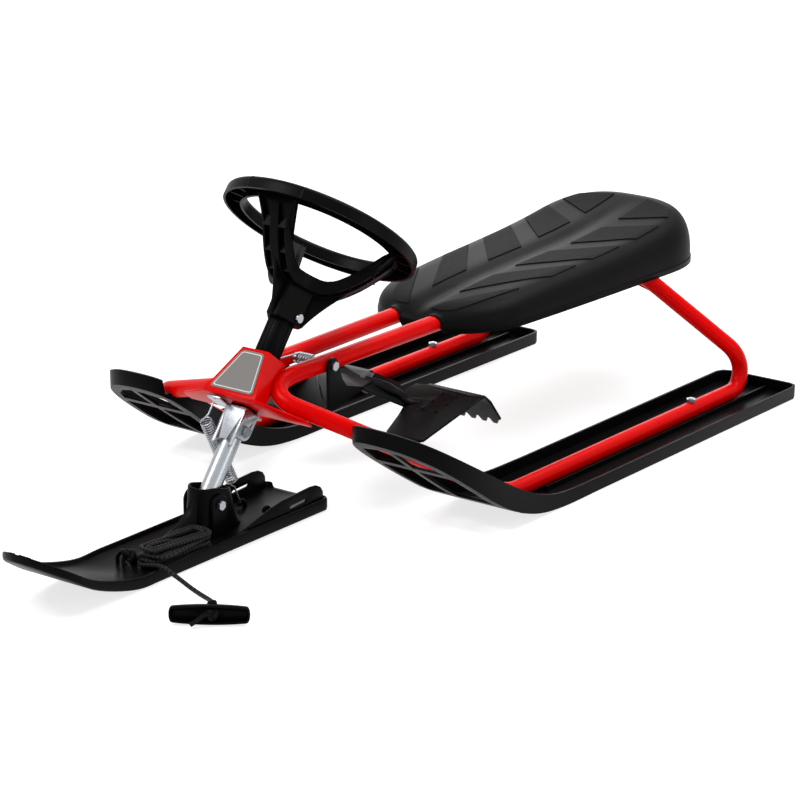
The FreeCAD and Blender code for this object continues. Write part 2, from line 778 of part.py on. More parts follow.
head = Part.makeLoft([
    tray(HEAD_LOW_HALF, HEAD_LOW_FRONT, HEAD_LOW_BACK, BOTTOM_PLATE_S, HEAD_T),
    tray(HEAD_TOP_HALF, HEAD_TOP_FRONT, HEAD_TOP_BACK, TOP_PLATE_S, HEAD_T),
], True, True)
top_plate = prism([
    (-HEAD_TOP_HALF, -HEAD_TOP_FRONT, TOP_PLATE_S), (HEAD_TOP_HALF, -HEAD_TOP_FRONT, TOP_PLATE_S),
    (HEAD_TOP_HALF, BUSH_R + HEAD_T, TOP_PLATE_S), (-HEAD_TOP_HALF, BUSH_R + HEAD_T, TOP_PLATE_S),
], (0, 0, -TOP_PLATE_T))
bush_hole = rod((0, 0, TOP_PLATE_S + 1), (0, 0, BOTTOM_PLATE_S - BOTTOM_PLATE_T - 1),
                BUSH_R + PRESS_FIT)
head = lean(head.fuse(top_plate).cut(bush_hole)).cut(tube_clear)
save("head_cover", head)

wing = [
    (0, -HEAD_LOW_FRONT), (HEAD_LOW_HALF, -HEAD_LOW_FRONT),
    (WING_TIP_X, WING_TIP_BACK - WING_W / 2), (WING_TIP_X, WING_TIP_BACK + WING_W / 2),
    (HEAD_LOW_HALF, BUSH_R + HEAD_T), (0, BUSH_R + HEAD_T),
]
half_plate = prism([(x, y, BOTTOM_PLATE_S) for x, y in wing], (0, 0, -BOTTOM_PLATE_T))
bottom_plate = half_plate.fuse(mirrored(half_plate)).removeSplitter().cut(bush_hole)
save("head_bottom_plate", lean(bottom_plate).cut(tube_clear))


def front_spot(s, across, out):
    # Point on the sloping front of the head: s down the axis, across in shares of its half width
    t = (s - TOP_PLATE_S) / (BOTTOM_PLATE_S - TOP_PLATE_S)
    half = HEAD_TOP_HALF + t * (HEAD_LOW_HALF - HEAD_TOP_HALF) - LABEL_EDGE
    y = HEAD_TOP_FRONT + t * (HEAD_LOW_FRONT - HEAD_TOP_FRONT) + out
    return (across * half, -y, s)


slope = math.atan2(HEAD_LOW_FRONT - HEAD_TOP_FRONT, TOP_PLATE_S - BOTTOM_PLATE_S)
label_way = V(0, -math.cos(slope), math.sin(slope)) * LABEL_T
label = prism([
    front_spot(TOP_PLATE_S - LABEL_EDGE, -1, 0), front_spot(TOP_PLATE_S - LABEL_EDGE, 1, 0),
    front_spot(BOTTOM_PLATE_S + LABEL_EDGE, 1, 0), front_spot(BOTTOM_PLATE_S + LABEL_EDGE, -1, 0),
], tuple(label_way))
save("head_label", lean(label))

# Column bushes, shaft and neck


def bush(seat_s, toward):
    flange = ring((0, 0, seat_s), (0, 0, seat_s + toward * BUSH_FLANGE_H), BUSH_FLANGE_R,
                  SHAFT_R + SHAFT_FIT)
    barrel = ring((0, 0, seat_s), (0, 0, seat_s - toward * BUSH_L), BUSH_R, SHAFT_R + SHAFT_FIT)
    return lean(flange.fuse(barrel))


low_face = BOTTOM_PLATE_S - BOTTOM_PLATE_T
save("upper_bush", bush(TOP_PLATE_S, 1))
save("lower_bush", bush(low_face, -1))
clevis_top = low_face - BUSH_FLANGE_H - CLEVIS_GAP
shaft = rod((0, 0, clevis_top), (0, 0, SHAFT_TOP), SHAFT_R)
screw_spot = -WHEEL_SCREW_DOWN
shaft = shaft.cut(rod((0, 0, screw_spot), (SHAFT_R + 1, 0, screw_spot), WHEEL_SCREW_R + PRESS_FIT))
save("column_shaft", lean(shaft))
neck_low = TOP_PLATE_S + BUSH_FLANGE_H + CLEVIS_GAP
neck = ring((0, 0, neck_low), (0, 0, HUB_LOW - LAY_GAP), NECK_R, SHAFT_R + SHAFT_FIT)
for k in range(NECK_RIBS):
    rib = box(NECK_R - 1, NECK_R + NECK_RIB_H, -NECK_RIB_W / 2, NECK_RIB_W / 2,
              neck_low, HUB_LOW - LAY_GAP)
    rib.rotate(V(0, 0, 0), V(0, 0, 1), 360.0 * k / NECK_RIBS)
    neck = neck.fuse(rib)
save("column_neck", lean(neck))

# Steering wheel

rim_in = WHEEL_R - RIM_W
rim_section = [
    (rim_in, RIM_LOW), (rim_in, RIM_TOP - RIM_ROUND), (rim_in + RIM_ROUND, RIM_TOP),
    (WHEEL_R - RIM_ROUND, RIM_TOP), (WHEEL_R, RIM_TOP - RIM_ROUND), (WHEEL_R, RIM_LOW),
    (WHEEL_R - RIM_WALL, RIM_LOW), (WHEEL_R - RIM_WALL, RIM_TOP - RIM_ROUND - RIM_WALL / 3),
    (WHEEL_R - RIM_ROUND - RIM_WALL / 3, RIM_TOP - RIM_WALL),
    (rim_in + RIM_ROUND + RIM_WALL / 3, RIM_TOP - RIM_WALL),
    (rim_in + RIM_WALL, RIM_TOP - RIM_ROUND - RIM_WALL / 3), (rim_in + RIM_WALL, RIM_LOW),
]
rim_points = [V(r, 0, s) for r, s in rim_section]
rim = Part.Face(Part.makePolygon(rim_points + [rim_points[0]]))
wheel = rim.revolve(V(0, 0, 0), V(0, 0, 1), 360)
hub = Part.makeCone(HUB_LOW_R, HUB_R, HUB_TOP - HUB_LOW, V(0, 0, HUB_LOW))
wheel = wheel.fuse(hub)
rib_low = RIM_LOW + RIM_RIB_DROP
rib_top = RIM_TOP - RIM_WALL / 2
rib_bend = RIM_TOP - RIM_ROUND - RIM_WALL / 6
rib_side = [
    (rim_in + RIM_WALL / 2, rib_low), (rim_in + RIM_WALL / 2, rib_bend),
    (rim_in + RIM_ROUND + RIM_WALL / 6, rib_top), (WHEEL_R - RIM_ROUND - RIM_WALL / 6, rib_top),
    (WHEEL_R - RIM_WALL / 2, rib_bend), (WHEEL_R - RIM_WALL / 2, rib_low),
]
for k in range(RIM_RIBS):
    rib = prism([(r, -RIM_RIB_T / 2, s) for r, s in rib_side], (0, RIM_RIB_T, 0))
    rib.rotate(V(0, 0, 0), V(0, 0, 1), 360.0 * (k + 0.5) / RIM_RIBS)
    wheel = wheel.fuse(rib)
spoke_end = rim_in + RIM_WALL / 2
spoke_top = RIM_TOP - RIM_ROUND - SPOKE_T / 2
half_spoke = SPOKE_W / 2


def around(r, side, turn):
    # Point at r along a spoke and side across it, for a spoke at this angle
    a = math.radians(turn)
    return (r * math.cos(a) - side * math.sin(a), r * math.sin(a) + side * math.cos(a), HUB_LOW)


def star(half, fillet):
    # Three spokes with filleted corners between them, as one upright block
    corners = []
    radii = []
    for turn in SPOKE_TURNS:
        corners += [around(spoke_end, -half, turn), around(spoke_end, half, turn),
                    around(half / math.sin(math.pi / 3), 0, turn + 60)]
        radii += [SPOKE_T / 4, SPOKE_T / 4, fillet]
    return Part.Face(rounded(corners, radii)).extrude(V(0, 0, RIM_TOP - HUB_LOW))


def dish_z(r):
    # Height of the spokes' top, which rises from the hub in a soft curve
    t = (r - DISH_R) / (spoke_end + 1 - DISH_R)
    return HUB_TOP + (spoke_top - HUB_TOP) * (1 + DISH_SOFT) * t * t / (t + DISH_SOFT)


def dish(upper, lower):
    # Turned shell that follows the spokes from hub to rim, between two depths below their top
    steps = [DISH_R + (spoke_end + 1 - DISH_R) * k / DISH_STEPS for k in range(DISH_STEPS + 1)]
    line = [(0, HUB_TOP)] + [(r, dish_z(r)) for r in steps]
    section = [V(r, 0, h - upper) for r, h in line] + [V(r, 0, h - lower) for r, h in reversed(line)]
    return Part.Face(Part.makePolygon(section + [section[0]])).revolve(V(0, 0, 0), V(0, 0, 1), 360)


skin = star(half_spoke, SPOKE_FILLET).common(dish(0, SPOKE_T))
walls = star(half_spoke, SPOKE_FILLET).cut(star(half_spoke - RIM_WALL, SPOKE_FILLET + RIM_WALL))
wheel = wheel.fuse([skin, walls.common(dish(SPOKE_T / 2, SPOKE_FLANGE))])
fin_top = dish_z(WHEEL_FIN_TOP_R)
fin_side = [
    (HUB_LOW_R / 2, HUB_LOW), (HUB_LOW_R + RIM_WALL / 2, HUB_LOW), (WHEEL_FIN_MID_R, WHEEL_FIN_MID),
    (WHEEL_FIN_TOP_R, fin_top - SPOKE_T / 2), (DISH_R, HUB_TOP - SPOKE_T / 2),
    (HUB_LOW_R / 2, HUB_TOP - SPOKE_T / 2),
]
for turn in SPOKE_TURNS:
    fin = prism([(r, -RIM_WALL / 2, h) for r, h in fin_side], (0, RIM_WALL, 0))
    fin.rotate(V(0, 0, 0), V(0, 0, 1), turn)
    wheel = wheel.fuse(fin)
wheel = wheel.cut(rod((0, 0, HUB_LOW - 1), (0, 0, SHAFT_TOP + SHAFT_FIT), SHAFT_R + SHAFT_FIT))
cap_floor = HUB_TOP - CAP_SEAT
wheel = wheel.cut(rod((0, 0, cap_floor), (0, 0, HUB_TOP + 1), CAP_R + PRESS_FIT))
wheel = wheel.cut(rod((0, 0, screw_spot), (HUB_R + 1, 0, screw_spot), WHEEL_SCREW_R + PRESS_FIT))
save("steering_wheel", lean(wheel))
cap_radius = (CAP_R ** 2 + CAP_H ** 2) / (2 * CAP_H)
dome = Part.makeSphere(cap_radius, V(0, 0, HUB_TOP + CAP_H - cap_radius))
cap = dome.common(rod((0, 0, HUB_TOP), (0, 0, HUB_TOP + CAP_H + 1), CAP_R))
cap = cap.fuse(rod((0, 0, cap_floor + LAY_GAP), (0, 0, HUB_TOP), CAP_R))
save("wheel_cap", lean(cap))
wheel_screw = rod((SHAFT_R / 3, 0, screw_spot), (HUB_R, 0, screw_spot), WHEEL_SCREW_R)
wheel_screw = wheel_screw.fuse(rod((HUB_R, 0, screw_spot), (HUB_R + WHEEL_SCREW_R, 0, screw_spot),
                                   WHEEL_SCREW_R * 2))
save("wheel_screw", lean(wheel_screw))

# Clevis, its bolt and the strut

ear_in = STRUT_R + STRUT_SIDE_GAP
ear_out = ear_in + CLEVIS_T
bolt_s = clevis_top - CLEVIS_BOLT_DOWN
plate_front = STRUT_R + STRUT_SIDE_GAP + CLEVIS_T
clevis = box(-ear_out, ear_out, -plate_front, CLEVIS_BACK, clevis_top - CLEVIS_T, clevis_top)
clevis = clevis.fuse(box(TAB_X - TAB_W / 2, -ear_in, -TAB_FRONT, -plate_front / 3,
                         clevis_top - CLEVIS_T, clevis_top))
front_wall = box(-ear_out, ear_out, -plate_front, CLEVIS_T - plate_front,
                 clevis_top - CLEVIS_LOW, clevis_top)
front_wall = front_wall.cut(rod((0, -plate_front - 1, clevis_top - CLEVIS_LOW - ARCH_R / 2),
                                (0, CLEVIS_T - plate_front + 1, clevis_top - CLEVIS_LOW - ARCH_R / 2),
                                ARCH_R))
clevis = clevis.fuse(front_wall)
for s in (-1, 1):
    x0 = ear_in if s > 0 else -ear_out
    ear = box(x0, x0 + CLEVIS_T, -plate_front, EAR_R, bolt_s, clevis_top)
    ear = ear.fuse(rod((x0, 0, bolt_s), (x0 + CLEVIS_T, 0, bolt_s), EAR_R))
    ear = ear.fuse(box(x0, x0 + CLEVIS_T, -plate_front, 0, bolt_s - EAR_R, bolt_s))
    clevis = clevis.fuse(ear)
clevis = clevis.cut(rod((-ear_out - 1, 0, bolt_s), (ear_out + 1, 0, bolt_s),
                        CLEVIS_BOLT_R + PRESS_FIT))
save("clevis", lean(clevis.removeSplitter()))


def cross_bolt(half, r, y, z, fit):
    # Bolt along X with a six-sided head on the left and a nut on the right
    bolt = rod((-half - HEX_H - 1, y, z), (half, y, z), r)
    bolt = bolt.fuse(hexagon((half, y, z), (1, 0, 0), HEX_R, HEX_H))
    nut = hexagon((-half, y, z), (-1, 0, 0), HEX_R, HEX_H)
    nut = nut.cut(rod((-half - HEX_H - 1, y, z), (-half + 1, y, z), r + fit))
    return bolt, nut


bolt, nut = cross_bolt(ear_out + LAY_GAP, CLEVIS_BOLT_R, 0, bolt_s, PRESS_FIT)
save("clevis_bolt", lean(bolt))
save("clevis_nut", lean(nut))

pivot_y = axis_y(PIVOT_Z)
pivot_s = up_axis(pivot_y, PIVOT_Z)
strut_top = clevis_top - CLEVIS_T - STRUT_TOP_GAP
strut_low = pivot_s - STRUT_END_PAST
strut = ring((0, 0, strut_low), (0, 0, strut_top), STRUT_R, STRUT_R - STRUT_WALL)
strut = strut.cut(rod((-STRUT_R - 1, 0, bolt_s), (STRUT_R + 1, 0, bolt_s),
                      CLEVIS_BOLT_R + PRESS_FIT))
strut = strut.cut(rod((-STRUT_R - 1, 0, pivot_s), (STRUT_R + 1, 0, pivot_s), PIVOT_R + PIVOT_FIT))
save("strut_tube", lean(strut))

# Ski tower and its pivot bolt

slot_half = STRUT_R + TOWER_GAP
tower_half = slot_half + TOWER_WALL
tower_side = [
    (TOWER_REAR_Y, SKI_T), (TOWER_REAR_TOP_Y, TOWER_REAR_TOP_Z), (TOWER_FRONT_TOP_Y, TOWER_TOP_Z),
    (TOWER_FOOT_Y, SKI_T),
]
tower = prism([(-tower_half, y, z) for y, z in tower_side], (2 * tower_half, 0, 0))
rib_side = [
    (TOWER_FRONT_TOP_Y, SKI_T), (TOWER_FRONT_TOP_Y, TOWER_TOP_Z), (TOWER_NECK_Y, TOWER_NECK_Z),
    (TOWER_SWOOP_Y, TOWER_SWOOP_Z), (TOWER_TOE_Y, TOWER_TOE_Z), (TOWER_TOE_Y, SKI_T),
]
tower = tower.fuse(prism([(-TOWER_RIB_HALF, y, z) for y, z in rib_side], (2 * TOWER_RIB_HALF, 0, 0)))
for s in (-1, 1):
    x0 = tower_half if s > 0 else -tower_half - TOWER_EAR_T
    tower = tower.fuse(rod((x0, pivot_y, PIVOT_Z), (x0 + TOWER_EAR_T, pivot_y, PIVOT_Z),
                           TOWER_EAR_R))
    tower = tower.fuse(box(x0, x0 + TOWER_EAR_T, pivot_y - TOWER_EAR_R, pivot_y + TOWER_EAR_R,
                           SKI_T, PIVOT_Z))
strut_room = box(-slot_half, slot_half, -slot_half - 1, slot_half + 1,
                 pivot_s - STRUT_END_PAST - 4, pivot_s + 60)
for turn in (0, 4, 8, 12, 16):
    room = strut_room.copy()
    room.rotate(V(0, 0, pivot_s), V(1, 0, 0), turn)
    tower = tower.cut(lean(room))
tower = tower.cut(rod((-tower_half - TOWER_EAR_T - 1, pivot_y, PIVOT_Z),
                      (tower_half + TOWER_EAR_T + 1, pivot_y, PIVOT_Z), PIVOT_R + PIVOT_FIT))
tower = tower.cut(rod((-tower_half - 1, TOWER_REAR_TOP_Y + 4, PIVOT_Z - TOWER_EAR_R),
                      (tower_half + 1, TOWER_REAR_TOP_Y + 4, PIVOT_Z - TOWER_EAR_R), TOWER_HOLE_R))
tower = tower.common(box(-100, 100, TOWER_TOE_Y - 1, TOWER_REAR_Y + 1, SKI_T, TOWER_TOP_Z + 20))
save("ski_tower", tower)
bolt, nut = cross_bolt(tower_half + TOWER_EAR_T + LAY_GAP, PIVOT_R, pivot_y, PIVOT_Z, PRESS_FIT)
save("pivot_bolt", bolt)
save("pivot_nut", nut)

# Front ski


def ski_line(lift, tip_lift):
    # Line along the ski, lift above the sole on the flat and tip_lift above it at the tip
    spline = Part.BSplineCurve()
    spline.interpolate([V(0, SKI_BEND_Y, lift), V(0, SKI_MID_Y, SKI_MID_Z + (lift + tip_lift) / 2),
                        V(0, SKI_TIP_Y - 4, SKI_TIP_Z + tip_lift)],
                       InitialTangent=V(0, -1, 0), FinalTangent=V(0, -1, SKI_TIP_RISE))
    return [Part.makeLine(V(0, SKI_REAR_Y + 4, lift), V(0, SKI_BEND_Y, lift)), spline.toShape()]


ski_plan = rounded([
    (-SKI_HALF, SKI_REAR_Y, -5), (-SKI_HALF, SKI_TIP_Y, -5),
    (SKI_HALF, SKI_TIP_Y, -5), (SKI_HALF, SKI_REAR_Y, -5),
], [SKI_REAR_R, SKI_TIP_R, SKI_TIP_R, SKI_REAR_R])
ski_high = SKI_TIP_Z + SKI_RIM_Z + 40.0
plan_body = Part.Face(ski_plan).extrude(V(0, 0, ski_high))
well_body = Part.Face(ski_plan.makeOffset2D(-SKI_RIM_W)).extrude(V(0, 0, ski_high))
ski = between(ski_line(0, 0), ski_line(SKI_RIM_Z, SKI_TIP_RIM), 2 * SKI_HALF + 10)
ski.translate(V(-SKI_HALF - 5, 0, 0))
well = between(ski_line(SKI_T, SKI_TIP_T), ski_line(SKI_RIM_Z + 30, SKI_RIM_Z + 30), 2 * SKI_HALF + 10)
well.translate(V(-SKI_HALF - 5, 0, 0))
ski = ski.common(plan_body).cut(well.common(well_body))
fin_side = [
    (FIN_FRONT_Y, SKI_T - 1), (FIN_TOP_FRONT_Y, FIN_Z), (FIN_TOP_REAR_Y, FIN_Z),
    (FIN_REAR_Y, SKI_RIM_Z), (FIN_REAR_Y, SKI_T - 1),
]
for s in (-1, 1):
    x0 = s * FIN_X - FIN_T / 2
    fin = prism([(x0, y, z) for y, z in fin_side], (FIN_T, 0, 0))
    fin = fin.cut(box(x0 - 1, x0 + FIN_T + 1, SLOT_Y - SLOT_L / 2, SLOT_Y + SLOT_L / 2,
                      SLOT_Z - SLOT_H / 2, SLOT_Z + SLOT_H / 2))
    hook = box(s * HOOK_X - HOOK_W / 2, s * HOOK_X + HOOK_W / 2, HOOK_Y - HOOK_L / 2,
               HOOK_Y + HOOK_L / 2, SKI_T - 1, SKI_T + HOOK_H)
    hook = hook.cut(box(s * HOOK_X - HOOK_W, s * HOOK_X + HOOK_W, HOOK_Y - HOOK_L / 4,
                        HOOK_Y + HOOK_L, SKI_T + HOOK_H / 4, SKI_T + HOOK_H * 0.7))
    ski = ski.fuse([fin, hook])
eye = box(EYE_X - EYE_W / 2, EYE_X + EYE_W / 2, EYE_Y - EYE_L / 2, EYE_Y + EYE_L / 2,
          SKI_T - 1, SKI_T + EYE_H)
eye_z = SKI_T + EYE_H / 2
eye = eye.cut(rod((EYE_X - EYE_W, EYE_Y, eye_z), (EYE_X + EYE_W, EYE_Y, eye_z), EYE_R))
ski = ski.fuse(eye)
save("front_ski", ski)

# Springs


def helix(centre, way, side, r, turns, length, hand):
    # Points and tangents every half turn
    way = V(way).normalize()
    u = V(side)
    u = (u - way * u.dot(way)).normalize()
    w = way.cross(u)
    rows = []
    for k in range(2 * turns + 1):
        a = math.pi * k * hand
        p = centre + u * (r * math.cos(a)) + w * (r * math.sin(a)) + way * (length * k / (2 * turns))
        t = (w * math.cos(a) - u * math.sin(a)) * (hand * math.pi * r) + way * (length / (2 * turns))
        rows.append((p, t.normalize()))
    return rows


def spring_body(rows, wire_r, start_leg, end_leg):
    edges = []
    first = rows[0]
    p, t = start_leg[1]
    edges.append(Part.LineSegment(start_leg[0], p).toShape())
    edges += biarc(p, t, first[0], first[1])
    for (p, t), (q, s) in zip(rows, rows[1:]):
        edges += biarc(p, t, q, s)
    q, s = end_leg[0]
    edges += biarc(rows[-1][0], rows[-1][1], q, s)
    edges.append(Part.LineSegment(q, end_leg[1]).toShape())
    wire = chain(edges)
    return swept(wire, wire_r), wire


def least_gap(name, wire, r):
    # Clear space between stretches of one tube that are apart along it, on points
    pts = []
    for edge in wire.OrderedEdges:
        row = edge.discretize(max(3, int(edge.Length / r) + 2))
        if pts and row[0].distanceToPoint(pts[-1]) > row[-1].distanceToPoint(pts[-1]):
            row.reverse()
        pts += row
    gone = [0.0]
    for a, b in zip(pts, pts[1:]):
        gone.append(gone[-1] + a.distanceToPoint(b))
    least = 1e9
    for i in range(len(pts)):
        for j in range(i + 1, len(pts)):
            if gone[j] - gone[i] > 6 * r:
                least = min(least, pts[i].distanceToPoint(pts[j]))
    print("least gap in", name, round(least - 2 * r, 3))


spring_top = V(TAB_X, SPRING_TOP_Y, SPRING_TOP_Z)
spring_low = V(SPRING_LOW_X, SPRING_LOW_Y, SPRING_LOW_Z)
run = spring_low - spring_top
along = V(run).normalize()
spring_rows = helix(spring_top, run, V(1, 0, 0), SPRING_R, SPRING_TURNS, run.Length, 1)
tab_s = clevis_top - CLEVIS_T
axis_way = V(0, SIN, COS)
rise = tab_s - LAY_GAP - up_axis(spring_top.y, spring_top.z)
top_end = spring_top + axis_way * rise
top_turn = top_end - axis_way * SPRING_END
hook_top = SKI_T + HOOK_H + LAY_GAP
low_end = spring_low + along * ((spring_low.z - hook_top) / -along.z)
low_turn = low_end + V(0, 0, SPRING_END)
spring, spring_wire = spring_body(spring_rows, SPRING_WIRE_R, (top_end, (top_turn, axis_way * -1)),
                                  ((low_turn, V(0, 0, -1)), low_end))
least_gap("suspension_spring", spring_wire, SPRING_WIRE_R)
print("spring volume over section times length",
      round(spring.Volume / (math.pi * SPRING_WIRE_R ** 2 * spring_wire.Length), 4))
save("suspension_spring", spring)

# Brake


def pad_z(y):
    return PAD_TOE_Z + PAD_SLOPE_Y * (y - PAD_TOE_Y)


def plate(points, way):
    # Flat sheet on these points, as thick as the brake along the given direction
    return prism(points, tuple(V(*way).normalize() * BRAKE_T))


brake_ear_in = tube_x_at(BRAKE_Y) + TUBE_R + BRAKE_EAR_GAP
brake_ear_out = brake_ear_in + BRAKE_T
leg_z = COIL_LEG_Z - BRAKE_T - LAY_GAP


def bridge_z(y):
    # Underside of the sheet between the ears, which rises to the rear
    return leg_z + BRIDGE_SLOPE * (y - COIL_LEG_Y)


ear_front = BRAKE_Y - BRAKE_EAR_R
ear_side = [
    (ear_front, TUBE_Z), (ear_front, BRAKE_EAR_LOW_Z), (BRAKE_EAR_REAR_Y, bridge_z(BRAKE_EAR_REAR_Y)),
    (BRAKE_EAR_REAR_Y, BRAKE_EAR_REAR_Z), (BRAKE_EAR_KNEE_Y, BRAKE_EAR_KNEE_Z),
    (BRAKE_EAR_WAIST_Y, BRAKE_EAR_WAIST_Z), (BRAKE_Y + BRAKE_EAR_R, TUBE_Z),
]
brake_ear = prism([(brake_ear_in, y, z) for y, z in ear_side], (BRAKE_T, 0, 0))
brake_ear = brake_ear.fuse(rod((brake_ear_in, BRAKE_Y, TUBE_Z), (brake_ear_out, BRAKE_Y, TUBE_Z),
                               BRAKE_EAR_R))
brake_ear = brake_ear.cut(rod((brake_ear_in - 1, BRAKE_Y, TUBE_Z), (brake_ear_out + 1, BRAKE_Y, TUBE_Z),
                              BRAKE_BOLT_R + BRAKE_FIT))
arm_top = V(brake_ear_out, BRAKE_EAR_REAR_Y - BRAKE_T, bridge_z(BRAKE_EAR_REAR_Y))
arm_low = V(ARM_LOW_X, ARM_LOW_Y, pad_z(ARM_LOW_Y))
arm_way = (arm_low - arm_top).normalize()
tilt = math.radians(ARM_TILT)
lift = V(-math.cos(tilt), 0, math.sin(tilt))
across = (lift - arm_way * lift.dot(arm_way)).normalize()
arm_len = (arm_low - arm_top).Length
arm_plan = [
    (0, 0), (arm_len + BRAKE_T, 0), (arm_len + ARM_W / 2, ARM_W / 3), (arm_len + BRAKE_T, ARM_W),
    (ARM_W, ARM_W),
]
arm_spots = [arm_top + arm_way * u + across * v for u, v in arm_plan]
arm = plate([(p.x, p.y, p.z) for p in arm_spots], tuple(arm_way.cross(across)))
wing_plan = [
    (ARM_LOW_X, ARM_LOW_Y), (WING_NOTCH_X, WING_NOTCH_Y), (WING_TOE_X, WING_TOE_Y),
    (WING_TOE_X + BRAKE_EAR_R, WING_FRONT_Y), (WING_OUT_X - BRAKE_EAR_R, WING_FRONT_Y),
    (WING_OUT_X, PAD_TOE_Y), (WING_OUT_X, WING_BEND_Y), (CLAW_IN_X, WING_BEND_Y + BRAKE_T),
    (WING_IN_X, WING_BEND_Y), (WING_IN_X - BRAKE_T, ARM_LOW_Y + ARM_W),
]
wing_pad = plate([(x, y, pad_z(y)) for x, y in wing_plan], (0, -PAD_SLOPE_Y, 1))
roll = [(WING_BEND_Y, pad_z(WING_BEND_Y)), (CLAW_CREST_Y, CLAW_CREST_Z), (CLAW_BACK_Y, CLAW_BACK_Z)]
roll_out = [(y + BRAKE_T * k / 3, z + BRAKE_T) for k, (y, z) in enumerate(roll)]
claw_span = (WING_OUT_X - CLAW_IN_X, 0, 0)
claw = prism([(CLAW_IN_X, y, z) for y, z in roll + roll_out[::-1]], claw_span)
claw_low = V(0, CLAW_ROOT_Y - CLAW_BACK_Y, CLAW_ROOT_Z - CLAW_BACK_Z).normalize()
claw_top = V(0, CLAW_BACK_Y, CLAW_BACK_Z) - claw_low * BRAKE_T
claw_edge = [(CLAW_IN_X, claw_top.y, claw_top.z), (CLAW_IN_X, CLAW_ROOT_Y, CLAW_ROOT_Z)]
step = (WING_OUT_X - CLAW_IN_X) / CLAW_TEETH
for k in range(CLAW_TEETH):
    for share, reach in ((0.15, CLAW_TOOTH_L), (0.5, CLAW_TOOTH_L), (0.8, 0), (1, 0)):
        claw_edge.append((CLAW_IN_X + step * (k + share), CLAW_ROOT_Y + claw_low.y * reach,
                          CLAW_ROOT_Z + claw_low.z * reach))
claw_edge.append((WING_OUT_X, claw_top.y, claw_top.z))
claw = claw.fuse(plate(claw_edge, (0, -claw_low.z, claw_low.y)))
half_brake = wing_pad.fuse([claw, brake_ear, arm])
bridge_line = [ear_front, BRAKE_EAR_REAR_Y, BRAKE_EAR_REAR_Y + ARM_W / 2]
bridge_side = [(y, bridge_z(y)) for y in bridge_line]
bridge_side += [(y, bridge_z(y) + BRAKE_T) for y in reversed(bridge_line)]
bridge = prism([(-brake_ear_out, y, z) for y, z in bridge_side], (2 * brake_ear_out, 0, 0))
brake = bridge.fuse([half_brake, mirrored(half_brake)])
for s in (-1, 1):
    for i in range(3):
        for j in range(2):
            x = s * (DIMPLE_X + j * DIMPLE_STEP)
            y = DIMPLE_Y + i * DIMPLE_STEP
            bump = Part.makeCone(DIMPLE_R, DIMPLE_R * 0.5, BRAKE_T + DIMPLE_H, V(x, y, pad_z(y)),
                                 V(0, -PAD_SLOPE_Y, 1))
            brake = brake.fuse(bump)
save("brake_plate", brake.removeSplitter())

head_face = brake_ear_out + LAY_GAP
bolt, nut = cross_bolt(head_face, BRAKE_BOLT_R, BRAKE_Y, TUBE_Z, PRESS_FIT)
save("brake_bolt", bolt)
save("brake_nut", nut)
coil_half = COIL_PITCH * COIL_TURNS / 2
spacers = []
inner_face = tube_x_at(BRAKE_Y) - TUBE_R - LAY_GAP
for s in (-1, 1):
    a = s * (coil_half + COIL_WIRE_R + 2 * LAY_GAP)
    spacers.append(ring((a, BRAKE_Y, TUBE_Z), (s * inner_face, BRAKE_Y, TUBE_Z), SPACER_R,
                        BRAKE_BOLT_R + PRESS_FIT))
save("brake_spacers", Part.makeCompound(spacers))
coil_rows = helix(V(-coil_half, BRAKE_Y, TUBE_Z), V(1, 0, 0), V(0, 0, 1), COIL_R, COIL_TURNS,
                  2 * coil_half, -1)
leg_top = V(coil_half, BRAKE_Y + COIL_R, TUBE_Z - 12)
leg_low = V(coil_half, COIL_LEG_Y, COIL_LEG_Z)
leg_way = (leg_low - leg_top).normalize()
plate_back = BUSH_R + HEAD_T
stay_end = V(-coil_half, WHEEL_Y + TOP_PLATE_S * SIN + plate_back * COS + COIL_WIRE_R,
             WHEEL_Z + TOP_PLATE_S * COS - plate_back * SIN - COIL_WIRE_R)
stay_in = V(-coil_half, BRAKE_Y - COIL_R, TUBE_Z + COIL_R)
coil, coil_wire = spring_body(coil_rows, COIL_WIRE_R,
                              (stay_end, (stay_in, (stay_in - stay_end).normalize())),
                              ((leg_top, leg_way), leg_low))
least_gap("brake_spring", coil_wire, COIL_WIRE_R)
save("brake_spring", coil)

# Tow rope: lead from the eye, hank on the ski, tail to the handle on the floor

rope_z = SKI_T + LAY_GAP + ROPE_R
half_pitch = HANK_PITCH / 2
outer_r = HANK_IN_R + (2 * HANK_TURNS - 1) * half_pitch
front_y = HANK_FRONT_Y + outer_r
rear_y = front_y + HANK_RUN
layers = [rope_z + k * HANK_LAYER for k in range(4)]
slant = math.sqrt(0.5)
edges = []
hank_start = V(HANK_X, HANK_FRONT_Y, layers[2])
q = V(HANK_X + outer_r, front_y, layers[2])
first_mid = V(HANK_X + outer_r * slant, front_y - outer_r * slant, layers[2])
edges.append(Part.Arc(hank_start, first_mid, q).toShape())
p = V(q.x, rear_y, q.z)
edges.append(Part.LineSegment(q, p).toShape())
shrinking = [outer_r - k * half_pitch for k in range(1, 2 * HANK_TURNS)]
growing = [HANK_IN_R + k * half_pitch for k in range(2 * HANK_TURNS)]


def winding(into, out, then):
    # Half turns that wind in on one layer and out on the next, each with the layer its next run ends on
    turns = [(r, into) for r in shrinking[:-1]] + [(shrinking[-1], out)]
    return turns + [(r, out) for r in growing[:-1]] + [(growing[-1], then)]


